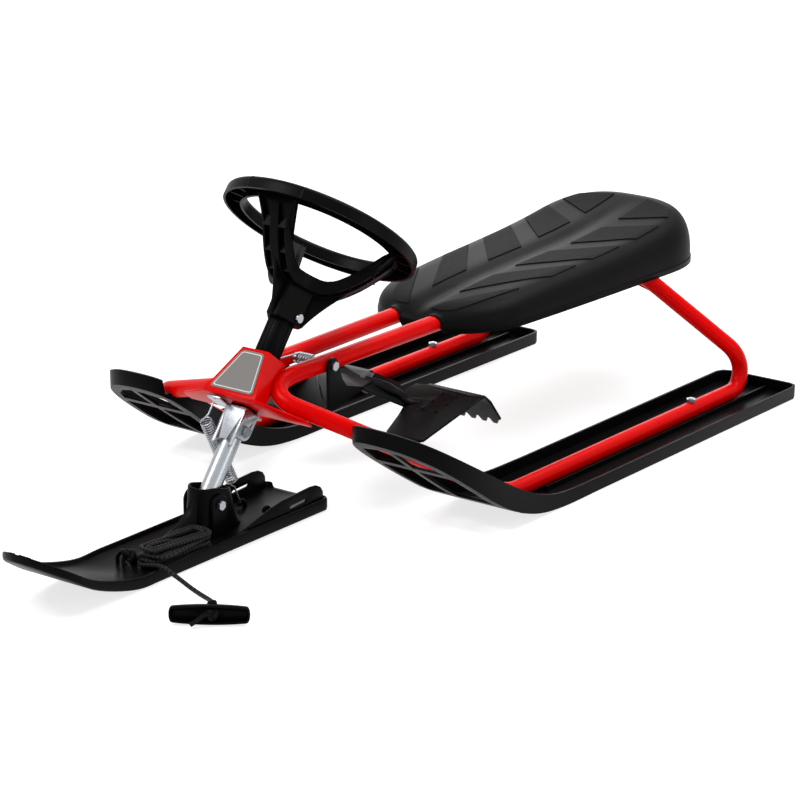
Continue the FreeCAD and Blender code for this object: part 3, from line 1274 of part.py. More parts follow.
side = -1
for r, layer in winding(2, 3, 1) + [(outer_r, 1)] + winding(1, 0, 0):
    end = p + V(2 * side * r, 0, 0)
    edges.append(Part.Arc(p, p + V(side * r, -side * r, 0), end).toShape())
    p = V(end.x, front_y if side < 0 else rear_y, layers[layer])
    if abs(p.z - end.z) > half_pitch:
        # The rope moves to another layer on this run
        a = V(end.x, end.y + side * HANK_RUN / 4, end.z)
        b = V(p.x, p.y - side * HANK_RUN / 4, p.z)
        edges += bent([end, a, b, p], [HANK_RUN, HANK_RUN]).Edges
    else:
        edges.append(Part.LineSegment(end, p).toShape())
    side = -side
last_r = outer_r + HANK_PITCH + LAY_GAP
hank_corner = V(p.x, front_y - last_r, p.z)
over_rim = V(OVER_RIM_X, hank_corner.y, OVER_RIM_Z)
way_out = (over_rim - hank_corner).normalize()
edges += bent([p, hank_corner, over_rim], [last_r]).Edges
hank_end = over_rim
hank_wire = Part.Wire(edges)
hank = swept(hank_wire, ROPE_R)
least_gap("rope_hank", hank_wire, ROPE_R)
save("rope_hank", hank)


def cord(name, points):
    # Straight runs with arcs as large as the runs allow
    pts = [V(*p) for p in points]
    radii = []
    for a, b, c in zip(pts, pts[1:], pts[2:]):
        turn = (b - a).getAngle(c - b)
        radii.append(0.45 * min((b - a).Length, (c - b).Length) / math.tan(turn / 2))
    wire = bent(points, radii)
    tube = swept(wire, ROPE_R)
    share = tube.Volume / (math.pi * ROPE_R ** 2 * wire.Length)
    print(name, "radii", [round(r, 1) for r in radii], "volume share", round(share, 4),
          "length", round(wire.Length, 1))
    save(name, tube)


eye_face = EYE_X + EYE_W / 2 + LAY_GAP
cord("rope_lead", [
    (eye_face, EYE_Y, eye_z),
    (7.0, EYE_Y, eye_z),
    (18.5, EYE_Y, hank_start.z),
    tuple(hank_start),
])
handle_z = HANDLE_R + LAY_GAP
turned = math.radians(HANDLE_TURN)
facing = V(math.sin(turned), -math.cos(turned), 0)
handle_mid = V(HANDLE_X, HANDLE_Y, handle_z)
tail_end = handle_mid - facing * (HANDLE_R + LAY_GAP)
tail_last = tail_end - facing * 15.0
cord("rope_tail", [
    tuple(hank_end),
    tuple(hank_end + way_out * RIM_RUN),
    (77.0, -414.0, 12.5),
    (108.0, -422.0, 7.0),
    (140.0, -435.0, 7.5),
    tuple(tail_last),
    tuple(tail_end),
])

# Handle: a barrel that tapers a little to both ends
along_handle = V(math.cos(turned), math.sin(turned), 0)
handle = None
for s in (-1, 1):
    half = Part.makeCone(HANDLE_R, HANDLE_END_R, HANDLE_L / 2, handle_mid, along_handle * s)
    handle = half if handle is None else handle.fuse(half)
save("tow_handle", handle)
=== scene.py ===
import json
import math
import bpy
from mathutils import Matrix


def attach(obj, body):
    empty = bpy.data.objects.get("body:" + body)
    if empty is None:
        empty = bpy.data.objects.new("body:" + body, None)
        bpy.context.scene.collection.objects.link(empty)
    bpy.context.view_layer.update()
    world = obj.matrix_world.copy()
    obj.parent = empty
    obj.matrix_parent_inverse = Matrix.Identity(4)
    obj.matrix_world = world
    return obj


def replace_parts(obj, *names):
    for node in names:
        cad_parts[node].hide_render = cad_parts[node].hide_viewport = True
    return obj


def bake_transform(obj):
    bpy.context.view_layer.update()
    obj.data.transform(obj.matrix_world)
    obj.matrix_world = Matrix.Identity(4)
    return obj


bl_info = {
    "name": "Steering Sled",
    "version": (1, 0, 0),
    "blender": (4, 5, 0),
    "location": "View3D > Sidebar > Sled",
    "description": "Dresses a steering sled around its packed frame",
    "category": "Object",
}

import bmesh
import bpy
from bpy.props import FloatProperty, IntProperty, PointerProperty, StringProperty
from bpy.types import Operator, Panel, PropertyGroup
from mathutils import Matrix, Vector

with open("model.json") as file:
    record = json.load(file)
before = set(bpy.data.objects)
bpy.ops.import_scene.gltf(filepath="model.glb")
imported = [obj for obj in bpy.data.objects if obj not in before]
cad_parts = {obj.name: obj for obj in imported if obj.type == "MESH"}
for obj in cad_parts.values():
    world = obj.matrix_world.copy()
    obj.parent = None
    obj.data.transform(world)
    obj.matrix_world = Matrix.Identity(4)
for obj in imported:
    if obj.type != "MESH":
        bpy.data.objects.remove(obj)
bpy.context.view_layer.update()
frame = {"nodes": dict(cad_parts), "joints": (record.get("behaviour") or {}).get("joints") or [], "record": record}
NODES = frame["nodes"]
JOINTS = {joint["name"]: joint for joint in frame["joints"]}
MM = 0.001
SAME_SPOT = 0.00001
ROUND_SHARP = 60

# The column leans back, and its own frame has Z up the column and -Y forward
COLUMN_FOOT = Vector(JOINTS["steer"]["pos_m"])
COLUMN_WAY = Vector(JOINTS["steer"]["axis"])
COLUMN_LEAN = math.atan2(COLUMN_WAY.y, COLUMN_WAY.z)
COLUMN = Matrix.Translation(COLUMN_FOOT) @ Matrix.Rotation(-COLUMN_LEAN, 4, "X")


def length_property(name, description, default):
    return FloatProperty(name=name, description=description, default=default, unit="LENGTH")


def colour_property(name, description, default):
    return StringProperty(name=name, description=description, default=default)


class SledSizes(PropertyGroup):
    """Sizes a user would change, in metres"""

    seat_wall: length_property("Seat wall", "Thickness of the seat moulding", 0.0035)
    tread_rise: length_property("Tread rise", "Height of the grip panels", 0.0011)
    edge_round: length_property("Edge round", "Rounding on moulded edges", 0.0012)
    sheet_round: length_property("Sheet round", "Rounding on sheet and thin rib edges", 0.0006)
    rope_thick: length_property("Rope thickness", "Diameter of the tow rope", 0.005)
    rim_thick: length_property("Rim wall", "Wall of the wheel's hollow rim", 0.003)
    rim_ribs: IntProperty(name="Rim ribs", description="Ribs inside the hollow rim", default=24)


class SledColours(PropertyGroup):
    """Colours as sRGB hex values"""

    red: colour_property("Red", "Powder coat on the frame", "#E20000")
    black: colour_property("Black", "Moulded plastic", "#080809")
    seat: colour_property("Seat", "Seat moulding", "#0F0F0F")
    tread: colour_property("Tread", "Grained grip panels", "#131313")
    zinc: colour_property("Zinc", "Plated steel", "#A4A9AE")
    satin: colour_property("Satin", "Black coat on the brake", "#0A0A0B")
    label: colour_property("Label", "Film on the head", "#6E6A66")
    border: colour_property("Border", "Line round the label", "#E6E6E4")
    rope: colour_property("Rope", "Braided cord", "#0E0E0F")
    # Painted highlight: lighter grey given to the raised strands of the cord, as if lit
    rope_painted_highlight: colour_property("Rope painted highlight", "Lit strands of the cord", "#3C3C3E")
    floor: colour_property("Floor", "Studio floor", "#F6F6F6")


def sizes():
    return bpy.context.scene.sled_sizes


def colours():
    return bpy.context.scene.sled_colours


# Colours, nodes and materials


def linear(code):
    """sRGB hex to linear RGBA"""
    channels = [int(code[i:i + 2], 16) / 255 for i in (1, 3, 5)]
    return tuple(c / 12.92 if c <= 0.04045 else ((c + 0.055) / 1.055) ** 2.4 for c in channels) + (1.0,)


def add(tree, kind, inputs=None, **settings):
    """Adds a node, sets its properties, and sets or links its inputs"""
    node = tree.nodes.new(kind)
    for name, value in settings.items():
        setattr(node, name, value)
    for name, value in (inputs or {}).items():
        if isinstance(value, bpy.types.NodeSocket):
            tree.links.new(value, node.inputs[name])
        else:
            node.inputs[name].default_value = value
    return node


def maths(tree, operation, *values):
    """The result of a math node on numbers or sockets"""
    return add(tree, "ShaderNodeMath", dict(enumerate(values)), operation=operation).outputs[0]


def new_material(name, colour, roughness, **inputs):
    """A material with one principled shader, and its tree and shader where it is new"""
    made = bpy.data.materials.get(name)
    if made:
        return made, None, None
    made = bpy.data.materials.new(name)
    made.use_nodes = True
    tree = made.node_tree
    shader = tree.nodes["Principled BSDF"]
    shader.inputs["Base Color"].default_value = linear(colour)
    shader.inputs["Roughness"].default_value = roughness
    for socket, value in inputs.items():
        shader.inputs[socket.replace("_", " ")].default_value = value
    return made, tree, shader


def grain(tree, shader, size_mm, depth_mm, detail=2.0):
    """Fine bumps of a real size over the whole surface"""
    spot = add(tree, "ShaderNodeTexCoord")
    noise = add(tree, "ShaderNodeTexNoise", {
        "Vector": spot.outputs["Object"], "Scale": 1 / (size_mm * MM), "Detail": detail})
    bump = add(tree, "ShaderNodeBump", {
        "Height": noise.outputs["Fac"], "Distance": depth_mm * MM, "Strength": 1.0})
    tree.links.new(bump.outputs["Normal"], shader.inputs["Normal"])
    return noise


def grained(name, colour, roughness, bumps, **inputs):
    """A material with bumps: their size and depth in millimetres and, where given, their detail"""
    made, tree, shader = new_material(name, colour, roughness, **inputs)
    if tree:
        grain(tree, shader, *bumps)
    return made


def red_powder_coat():
    # Baked polyester powder on steel tube: a glossy skin with faint orange peel
    return grained("red_powder_coat", colours().red, 0.3, (3.0, 0.02), IOR=1.5, Specular_IOR_Level=0.06)


def moulded_black():
    # Polypropylene from a spark-eroded mould: black with a soft broad sheen
    return grained("moulded_black_polypropylene", colours().black, 0.36, (1.6, 0.015), IOR=1.49,
                   Specular_IOR_Level=0.04)


def seat_black():
    # The same plastic from a duller mould: a little paler, with a broader sheen
    return grained("seat_black_polypropylene", colours().seat, 0.42, (1.6, 0.02), IOR=1.49,
                   Specular_IOR_Level=0.035)


def tread_black():
    # Etched panels: coarse grain, drawn about twice as coarse as it is so that it shows
    return grained("tread_grained_polypropylene", colours().tread, 0.62, (1.6, 0.4, 3.0), IOR=1.49,
                   Specular_IOR_Level=0.05)


def zinc_plate():
    # Bright zinc on drawn steel: cool grey metal with soft cloudy patches
    made, tree, shader = new_material("bright_zinc_plate", colours().zinc, 0.28, Metallic=1.0)
    if tree:
        noise = grain(tree, shader, 4.0, 0.01)
        ramp = add(tree, "ShaderNodeMapRange", {
            "Value": noise.outputs["Fac"], "To Min": 0.2, "To Max": 0.38})
        tree.links.new(ramp.outputs["Result"], shader.inputs["Roughness"])
    return made


def satin_black_coat():
    # Powder coat on stamped sheet: satin black
    return grained("satin_black_powder_coat", colours().satin, 0.36, (2.0, 0.02), IOR=1.5,
                   Specular_IOR_Level=0.05)


def label_film():
    # Screen-printed vinyl: flat grey with a low sheen
    return new_material("grey_vinyl_film", colours().label, 0.45, IOR=1.5)[0]


def border_ink():
    # White ink on the film
    return new_material("white_film_ink", colours().border, 0.45, IOR=1.5)[0]


def braided_cord():
    # Sixteen-strand braid: strands cross on two slants, drawn twice as coarse as they are so they show; the raised
    # strands are painted a lighter grey as a painted highlight
    made, tree, shader = new_material("braided_polypropylene_cord", colours().rope, 0.55, IOR=1.49,
                                      Specular_IOR_Level=0.1)
    if tree:
        spot = add(tree, "ShaderNodeTexCoord")
        parts = add(tree, "ShaderNodeSeparateXYZ", {"Vector": spot.outputs["UV"]})
        strands = []
        for slant in (-1, 1):
            along = maths(tree, "MULTIPLY", parts.outputs["X"], ROPE_LENGTH / BRAID_PITCH)
            round_it = maths(tree, "MULTIPLY", parts.outputs["Y"], slant * BRAID_STRANDS)
            turns = maths(tree, "MULTIPLY", maths(tree, "ADD", along, round_it), math.tau)
            strands.append(maths(tree, "SINE", turns))
        weave = maths(tree, "MULTIPLY", *strands)
        # Painted highlight: where the weave rises, the base colour turns to the lighter grey, as if lit
        share = add(tree, "ShaderNodeMapRange", {"Value": weave, "From Min": 0.1, "From Max": 0.9})
        mix = add(tree, "ShaderNodeMix", {
            "Factor": share.outputs["Result"], "A": linear(colours().rope),
            "B": linear(colours().rope_painted_highlight)}, data_type="RGBA")
        tree.links.new(mix.outputs["Result"], shader.inputs["Base Color"])
        bump = add(tree, "ShaderNodeBump", {"Height": weave, "Distance": BRAID_DEEP})
        tree.links.new(bump.outputs["Normal"], shader.inputs["Normal"])
    return made


SLOT_FINISH = {
    "red_paint": red_powder_coat,
    "black_plastic": moulded_black,
    "seat_plastic": seat_black,
    "zinc_steel": zinc_plate,
    "black_paint": satin_black_coat,
    "label_grey": label_film,
    "black_rope": braided_cord,
}


# Ways of making pieces


def paint(obj, *materials):
    obj.data.materials.clear()
    for material in materials:
        obj.data.materials.append(material)


def smooth(obj, degrees=35):
    obj.data.shade_smooth()
    obj.data.set_sharp_from_angle(angle=math.radians(degrees))


def new_object(name, data):
    """An object that is linked to the scene"""
    obj = bpy.data.objects.new(name, data)
    bpy.context.scene.collection.objects.link(obj)
    return obj


def dress(obj, body, slot, *materials, sharp=35):
    """Gives a piece its body and the finish of its slot, unless other materials are given"""
    paint(obj, *(materials or [SLOT_FINISH[slot]()]))
    smooth(obj, sharp)
    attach(obj, body)
    return obj


def new_piece(name, verts, faces, body, slot, *materials, place=None):
    """A mesh piece in the sled's frame that rides on a body"""
    mesh = bpy.data.meshes.new(name)
    mesh.from_pydata([tuple(v) for v in verts], [], faces)
    if place:
        mesh.transform(place)
    mesh.update()
    shape = bmesh.new()
    shape.from_mesh(mesh)
    bmesh.ops.remove_doubles(shape, verts=shape.verts, dist=SAME_SPOT)
    bmesh.ops.recalc_face_normals(shape, faces=shape.faces)
    shape.to_mesh(mesh)
    shape.free()
    return dress(new_object(name, mesh), body, slot, *materials)


def soften(obj, width, segments=2, angle=35):
    """Rounds the sharp edges of a piece"""
    weld = obj.modifiers.new("weld", "WELD")
    weld.merge_threshold = SAME_SPOT
    bevel = obj.modifiers.new("edge_round", "BEVEL")
    bevel.width = width
    bevel.segments = segments
    bevel.limit_method = "ANGLE"
    bevel.angle_limit = math.radians(angle)
    bevel.use_clamp_overlap = True


def thicken(obj, thickness, offset=-1):
    """Gives a sheet its wall, inward from its outer skin or, at offset 0, to both sides"""
    wall = obj.modifiers.new("wall", "SOLIDIFY")
    wall.thickness = thickness
    wall.offset = offset


def between(pair, share):
    """Value part of the way from the first to the second"""
    return pair[0] + (pair[1] - pair[0]) * share


def within(share):
    """A share held between 0 and 1"""
    return min(1.0, max(0.0, share))


def shares(count):
    """Shares from 0 to 1 in this many steps"""
    return [k / count for k in range(count + 1)]


def polar(r, turn):
    """A point on a circle"""
    return r * math.cos(turn), r * math.sin(turn)


def bridge(first, second, count, closed=True):
    """Quads between two rings of vertices that start at these numbers"""
    steps = count if closed else count - 1
    return [(first + i, first + (i + 1) % count, second + (i + 1) % count, second + i) for i in range(steps)]


def loft(verts, faces, rings, closed=True, caps=False, around=False):
    """Adds rings of points and the faces between them, with end caps or on round to the first ring"""
    start, count = len(verts), len(rings[0])
    for ring in rings:
        verts.extend(ring)
    firsts = [start + k * count for k in range(len(rings))]
    for a, b in zip(firsts, firsts[1:] + (firsts[:1] if around else [])):
        faces.extend(bridge(a, b, count, closed))
    if caps:
        faces.extend(tuple(range(a, a + count)) for a in (firsts[0], firsts[-1]))


def lofted(*groups, **how):
    """Points and faces of groups of rings"""
    verts, faces = [], []
    for rings in groups:
        loft(verts, faces, rings, **how)
    return verts, faces


def edge_loop(shape, points):
    """New vertices at these points, and the closed loop of edges through them"""
    ring = [shape.verts.new(p) for p in points]
    return ring, [shape.edges.new((a, b)) for a, b in zip(ring, ring[1:] + ring[:1])]


def round_line(name, kind, points, radius, fine):
    """A round curve along a line of points, and its spline"""
    curve = bpy.data.curves.new(name, "CURVE")
    curve.dimensions = "3D"
    curve.bevel_depth = radius
    curve.bevel_resolution = fine
    curve.use_fill_caps = True
    line = curve.splines.new(kind)
    line.points.add(len(points) - 1)
    for spot, p in zip(line.points, points):
        spot.co = (*p, 1.0)
    return curve, line


def tube_mesh(name, points, radius, fine=2):
    """A mesh tube along a line of points, through a curve"""
    holder = new_object(name, round_line(name, "POLY", points, radius, fine)[0])
    mesh = bpy.data.meshes.new_from_object(holder.evaluated_get(bpy.context.evaluated_depsgraph_get()))
    bpy.data.objects.remove(holder)
    return mesh


def ski_piece(name, verts, faces, place=None):
    """A moulded piece that rides on the ski"""
    return new_piece(name, verts, faces, "front_ski", "black_plastic", place=place)


def tube_piece(name, points, radius, slot, fine=2, place=None):
    """A round bar or length of cord that rides on the ski"""
    mesh = tube_mesh(name, points, radius, fine)
    if place:
        mesh.transform(place)
    dress(new_object(name, mesh), "front_ski", slot, sharp=ROUND_SHARP)


def through(points, steps=6):
    """Points on a smooth line through these"""
    spots = [Vector(p) for p in points]
    ends = [2 * spots[0] - spots[1]] + spots + [2 * spots[-1] - spots[-2]]
    line = []
    for a, b, c, d in zip(ends, ends[1:], ends[2:], ends[3:]):
        for i in range(steps):
            t = i / steps
            line.append(0.5 * (2 * b + (c - a) * t + (2 * a - 5 * b + 4 * c - d) * t ** 2
                               + (3 * b - a - 3 * c + d) * t ** 3))
    return line + [spots[-1]]


def height_at(line, y):
    """Height of a side line at a place along the sled"""
    for a, b in zip(line, line[1:]):
        if b.y <= y <= a.y:
            return a.z + (b.z - a.z) * (a.y - y) / (a.y - b.y)
    return line[0].z if y > line[0].y else line[-1].z


def square_to(way):
    """Two ways that are square to this one and to each other"""
    side = way.orthogonal().normalized()
    return side, way.cross(side)


def super_round(value, power):
    """A sine or cosine bent towards a squarer round, with its sign"""
    return math.copysign(abs(value) ** power, value)


# Finishes of the frame's own pieces


class SLED_OT_frame_finishes(Operator):
    """Paints the frame's pieces and rounds their edges"""

    bl_idname = "sled.frame_finishes"
    bl_label = "Frame Finishes"

    def execute(self, context):
        slots = {row["node"]: row["material_slot"] for row in frame["record"]["subparts"]}
        for name, obj in NODES.items():
            paint(obj, SLOT_FINISH[slots[name]]())
            custom = obj.data.attributes.get("custom_normal")
            if custom:
                obj.data.attributes.remove(custom)
            smooth(obj)
        soften(NODES["column_neck"], sizes().edge_round)
        for name in ("head_cover", "head_bottom_plate", "clevis", "brake_plate"):
            soften(NODES[name], sizes().sheet_round)
        return {"FINISHED"}


# Runners: channels with a round raised nose, two rows of windows in it and a step for the tube

RUNNER_NOSE = [(0.1405, 0.02, 0), (0.1405, -0.03, 0), (0.1385, -0.085, 0), (0.131, -0.128, 0),
               (0.1268, -0.156, 0), (0.1285, -0.176, 0), (0.137, -0.191, 0), (0.152, -0.1975, 0),
               (0.176, -0.1985, 0), (0.201, -0.194, 0), (0.223, -0.182, 0), (0.2385, -0.162, 0),
               (0.247, -0.135, 0), (0.2508, -0.098, 0), (0.2515, -0.05, 0), (0.2515, 0.0, 0)]
RUNNER_REAR = [(0.2515, 0.548, 0), (0.248, 0.5565, 0), (0.2395, 0.56, 0), (0.1525, 0.56, 0),
               (0.144, 0.5565, 0), (0.1405, 0.548, 0)]
RUNNER_SOLE = [(0, 0.12, 0.0016), (0, 0.045, 0.0016), (0, -0.008, 0.008), (0, -0.06, 0.0275),
               (0, -0.116, 0.0625), (0, -0.206, 0.1275)]
RUNNER_RIM = [(0, 0.20, 0.016), (0, 0.118, 0.016), (0, 0.03, 0.02), (0, -0.036, 0.043),
              (0, -0.116, 0.088), (0, -0.206, 0.144)]
RUNNER_WALL = 0.003
RUNNER_CUTS = [-0.195 + 0.007 * k for k in range(46)]
RUNNER_WINDOWS = (
    ((0.142, -0.181), (0.168, -0.187), (0.180, -0.187), (0.180, -0.151), (0.138, -0.151)),
    ((0.188, -0.187), (0.208, -0.180), (0.224, -0.166), (0.231, -0.151), (0.188, -0.151)),
    ((0.139, -0.142), (0.180, -0.142), (0.182, -0.070), (0.149, -0.070)),
    ((0.188, -0.142), (0.235, -0.142), (0.240, -0.110), (0.240, -0.070), (0.190, -0.070)),
)
STEP_SPAN = (-0.190, -0.150)
STEP_X = 0.150
STEP_Z = 0.118
CRADLE_X = (0.1825, 0.2095)
CRADLE_SPAN = (0.07, 0.551)
CRADLE_HALF = 0.0015
CRADLE_Z = (0.002, 0.009)


class SLED_OT_runners(Operator):
    """The two rear runners"""

    bl_idname = "sled.runners"
    bl_label = "Runners"

    def sheet(self):
        """Points and faces of the left channel, drawn flat with a wall one high and then bent"""
        plan = through(RUNNER_NOSE) + [Vector(p) for p in RUNNER_REAR]
        sole, rim = (through(line, steps=8) for line in (RUNNER_SOLE, RUNNER_RIM))
        shape = bmesh.new()
        low, edges = edge_loop(shape, plan)
        top = [shape.verts.new(p + Vector((0, 0, 1))) for p in plan]
        for window in RUNNER_WINDOWS:
            edges += edge_loop(shape, [(x, y, 0) for x, y in window])[1]
        bmesh.ops.triangle_fill(shape, edges=edges, use_beauty=True)
        for i in range(len(low)):
            j = (i + 1) % len(low)
            shape.faces.new((low[i], low[j], top[j], top[i]))
        for y in RUNNER_CUTS:
            bmesh.ops.bisect_plane(shape, geom=shape.verts[:] + shape.edges[:] + shape.faces[:],
                                   plane_co=(0, y, 0), plane_no=(0, 1, 0))
        shape.verts.index_update()
        verts = []
        for v in shape.verts:
            on_wall = v.co.z > 0.5
            z = height_at(rim if on_wall else sole, v.co.y)
            if on_wall and v.co.x < STEP_X and STEP_SPAN[0] < v.co.y < STEP_SPAN[1]:
                z = min(z, STEP_Z)
            verts.append((v.co.x, v.co.y, z))
        faces = [[v.index for v in face.verts] for face in shape.faces]
        shape.free()
        return verts, faces

    def execute(self, context):
        verts, faces = self.sheet()
        front, rear = CRADLE_SPAN
        for side, node in ((1, "left_runner"), (-1, "right_runner")):
            skin = new_piece(node + "_channel", [(side * x, y, z) for x, y, z in verts], faces, "frame",
                             "black_plastic")
            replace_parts(skin, node)
            thicken(skin, RUNNER_WALL, 0)
            soften(skin, sizes().edge_round)
            bars = []
            for x in CRADLE_X:
                near, far = side * (x - CRADLE_HALF), side * (x + CRADLE_HALF)
                corners = ((near, front), (far, front), (far, rear), (near, rear))
                bars.append([[(*corner, z) for corner in corners] for z in CRADLE_Z])
            ribs = new_piece(node + "_ribs", *lofted(*bars, caps=True), "frame", "black_plastic")
            soften(ribs, sizes().sheet_round)
        return {"FINISHED"}


# Front ski: a deck between rolled edges that bends up to a round tip, two fins, hooks and the rope's eye

SKI_HALF = 0.048
SKI_ENDS = (-0.575, -0.121)
SKI_TIP_R = 0.046
SKI_REAR_R = 0.008
SKI_SOLE = [(0, -0.30, 0), (0, -0.40, 0), (0, -0.445, 0.0014), (0, -0.504, 0.0185), (0, -0.545, 0.0415),
            (0, -0.578, 0.062)]
SKI_DECK = (0.0092, 0.005)
SKI_RIM = (0.015, 0.0095)
SKI_RIM_WIDE = 0.0055
SKI_TIP_STEP = 0.0004
SKI_LIP_SHARE = 0.45
SKI_CUTS = (14, 46, 4)
# Section of the edge: shares of the lip inward, and heights over the sole, the rim or the deck
SKI_EDGE = (
    (1 / 2, "sole", 0.0), (1 / 8, "sole", 0.0012), (0.0, "sole", 0.004), (0.0, "rim", -0.0024),
    (1 / 8, "rim", -0.0006), (1 / 3, "rim", 0.0), (2 / 3, "rim", -0.0004), (1.0, "deck", 0.001),
    (1.3, "deck", 0.0),
)
FIN_X = 0.042
FIN_WALL = 0.003
FIN_SIDE = ((-0.278, 0.008), (-0.276, 0.0125), (-0.222, 0.027), (-0.200, 0.031), (-0.150, 0.0335),
            (-0.139, 0.0325), (-0.132, 0.029), (-0.128, 0.023), (-0.127, 0.008))
FIN_SLOT = ((-0.187, 0.0195), (-0.185, 0.0178), (-0.159, 0.0190), (-0.157, 0.0207), (-0.159, 0.0224),
            (-0.185, 0.0212))
HOOK_LINE = [(0, 0, 0.006), (0, 0, 0.013), (0, -0.003, 0.0172), (0, -0.0078, 0.0168), (0, -0.0095, 0.0125)]
HOOK_SPOTS = ((0.018, -0.192), (-0.018, -0.192))
HOOK_R = 0.0026
EYE_LINE = [(-0.012, -0.410, 0.006), (-0.012, -0.410, 0.016), (-0.008, -0.407, 0.0215),
            (-0.001, -0.402, 0.0215), (0.003, -0.399, 0.016), (0.003, -0.399, 0.006)]
EYE_R = 0.0022


class SLED_OT_front_ski(Operator):
    """The front ski"""

    bl_idname = "sled.front_ski"
    bl_label = "Front Ski"

    def deck(self):
        sole = through(SKI_SOLE[::-1], steps=8)[::-1]
        tip, rear = SKI_ENDS
        nose, heel = tip + SKI_TIP_R, rear - SKI_REAR_R
        at_tip, at_middle, at_rear = (shares(cuts)[1:] for cuts in SKI_CUTS)
        spots = [tip + SKI_TIP_R * (1 - math.cos(math.pi / 2 * t)) for t in at_tip]
        spots += [between((nose, heel), t) for t in at_middle]
        spots += [rear - SKI_REAR_R * (1 - math.sin(math.pi / 2 * t)) for t in at_rear]
        rings = []
        for y in spots:
            half = SKI_HALF
            if y < nose:
                half *= math.sqrt(1 - ((nose - y) / SKI_TIP_R) ** 2)
            if y > heel:
                half -= SKI_REAR_R * (1 - math.sqrt(max(0.0, 1 - ((y - heel) / SKI_REAR_R) ** 2)))
            bend = SKI_SOLE[1][1]
            share = within((bend - y) / (bend - tip))
            levels = {"sole": 0.0, "rim": between(SKI_RIM, share), "deck": between(SKI_DECK, share)}
            if y - tip < SKI_RIM_WIDE:
                levels["deck"] = levels["rim"] - SKI_TIP_STEP
            low = height_at(sole, y)
            lip = min(SKI_RIM_WIDE, half * SKI_LIP_SHARE)
            edge = [(half - lip * inward, low + levels[base] + up) for inward, base, up in SKI_EDGE]
            rings.append([(x, y, z) for x, z in edge] + [(-x, y, z) for x, z in reversed(edge)])
        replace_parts(ski_piece("ski_deck", *lofted(rings, caps=True)), "front_ski")

    def fins(self):
        shape = bmesh.new()
        edges = []
        for loop in (FIN_SIDE, FIN_SLOT):
            edges += edge_loop(shape, [(0, y, z) for y, z in loop])[1]
        bmesh.ops.triangle_fill(shape, edges=edges, use_beauty=True, normal=(1, 0, 0))
        shape.verts.index_update()
        side = [v.co.copy() for v in shape.verts]
        sheet = [[v.index for v in face.verts] for face in shape.faces]
        shape.free()
        verts = [(sign * FIN_X, p.y, p.z) for sign in (-1, 1) for p in side]
        faces = sheet + [[i + len(side) for i in face] for face in sheet]
        fins = ski_piece("ski_fins", verts, faces)
        thicken(fins, FIN_WALL, 0)
        soften(fins, sizes().sheet_round)

    def execute(self, context):
        self.deck()
        self.fins()
        for k, (x, y) in enumerate(HOOK_SPOTS):
            line = [p + Vector((x, y, 0)) for p in through(HOOK_LINE)]
            tube_piece(f"ski_hook_{k + 1}", line, HOOK_R, "black_plastic", fine=4)
        tube_piece("rope_eye", through(EYE_LINE), EYE_R, "black_plastic", fine=4)
        return {"FINISHED"}


# Ski tower: a hollow hub that flares into the deck, cheeks for the pivot and a ridge that runs to a toe

TOWER_HALF = 0.0185
TOWER_AROUND = 40
TOWER_LEVELS = 10
TOWER_FLARE = 0.55
TOWER_SQUARE = 0.75
TOWER_MIDS = (-0.269, -0.273)
TOWER_REACH = (0.041, 0.0245)
TOWER_LOW = 0.009
TOWER_TOPS = ((-0.285, 0.064), (-0.249, 0.055))
TOWER_WALL = 0.003
CHEEK_MID = (-0.2803, 0.0445)
CHEEK_R = 0.0118
CHEEK_X = (0.0183, 0.0215)
CHEEK_STEPS = 16
RIDGE_LINE = [(0.0075, -0.2988, 0.056), (0.0078, -0.304, 0.0475), (0.008, -0.311, 0.0385),
              (0.0083, -0.327, 0.0285), (0.0085, -0.347, 0.0215), (0.0083, -0.368, 0.017),
              (0.007, -0.384, 0.0135), (0.003, -0.391, 0.0105)]
RIDGE_SHAPE = ((-1.0, 0.0), (-0.96, 0.45), (-0.82, 0.78), (-0.5, 0.95), (0.0, 1.0), (0.5, 0.95), (0.82, 0.78),
               (0.96, 0.45), (1.0, 0.0))


class SLED_OT_ski_tower(Operator):
    """The tower on the front ski"""

    bl_idname = "sled.ski_tower"
    bl_label = "Ski Tower"

    def hub(self):
        (front, high), (rear, low) = TOWER_TOPS
        rings = []
        for t in shares(TOWER_LEVELS):
            mid, reach = (between(pair, t ** TOWER_FLARE) for pair in (TOWER_MIDS, TOWER_REACH))
            ring = []
            for i in range(TOWER_AROUND):
                on, across = (super_round(way, TOWER_SQUARE) for way in polar(1, math.tau * i / TOWER_AROUND))
                y = mid - reach * on
                top = between((high, low), within((y - front) / (rear - front)))
                ring.append((TOWER_HALF * across, y, between((TOWER_LOW, top), t)))
            rings.append(ring)
        hub = ski_piece("tower_hub", *lofted(rings))
        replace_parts(hub, "ski_tower")
        thicken(hub, TOWER_WALL)
        soften(hub, sizes().edge_round)

    def cheeks(self):
        arc = [(CHEEK_MID[0] + y, CHEEK_MID[1] + z)
               for y, z in (polar(CHEEK_R, math.pi * t) for t in shares(CHEEK_STEPS))]
        side = arc + [(arc[-1][0], TOWER_LOW), (arc[0][0], TOWER_LOW)]
        blocks = [[[(sign * x, *p) for p in side] for x in CHEEK_X] for sign in (-1, 1)]
        soften(ski_piece("tower_cheeks", *lofted(*blocks, caps=True)), sizes().sheet_round)

    def execute(self, context):
        self.hub()
        self.cheeks()
        crest = [[(u * spot.x, spot.y, between((TOWER_LOW, spot.z), v)) for u, v in RIDGE_SHAPE]
                 for spot in through(RIDGE_LINE, steps=5)]
        ski_piece("tower_ridge", *lofted(crest, closed=False, caps=True))
        return {"FINISHED"}


# Tow handle: an open moulded grip with the rope's knot inside, and the knot at the ski's eye

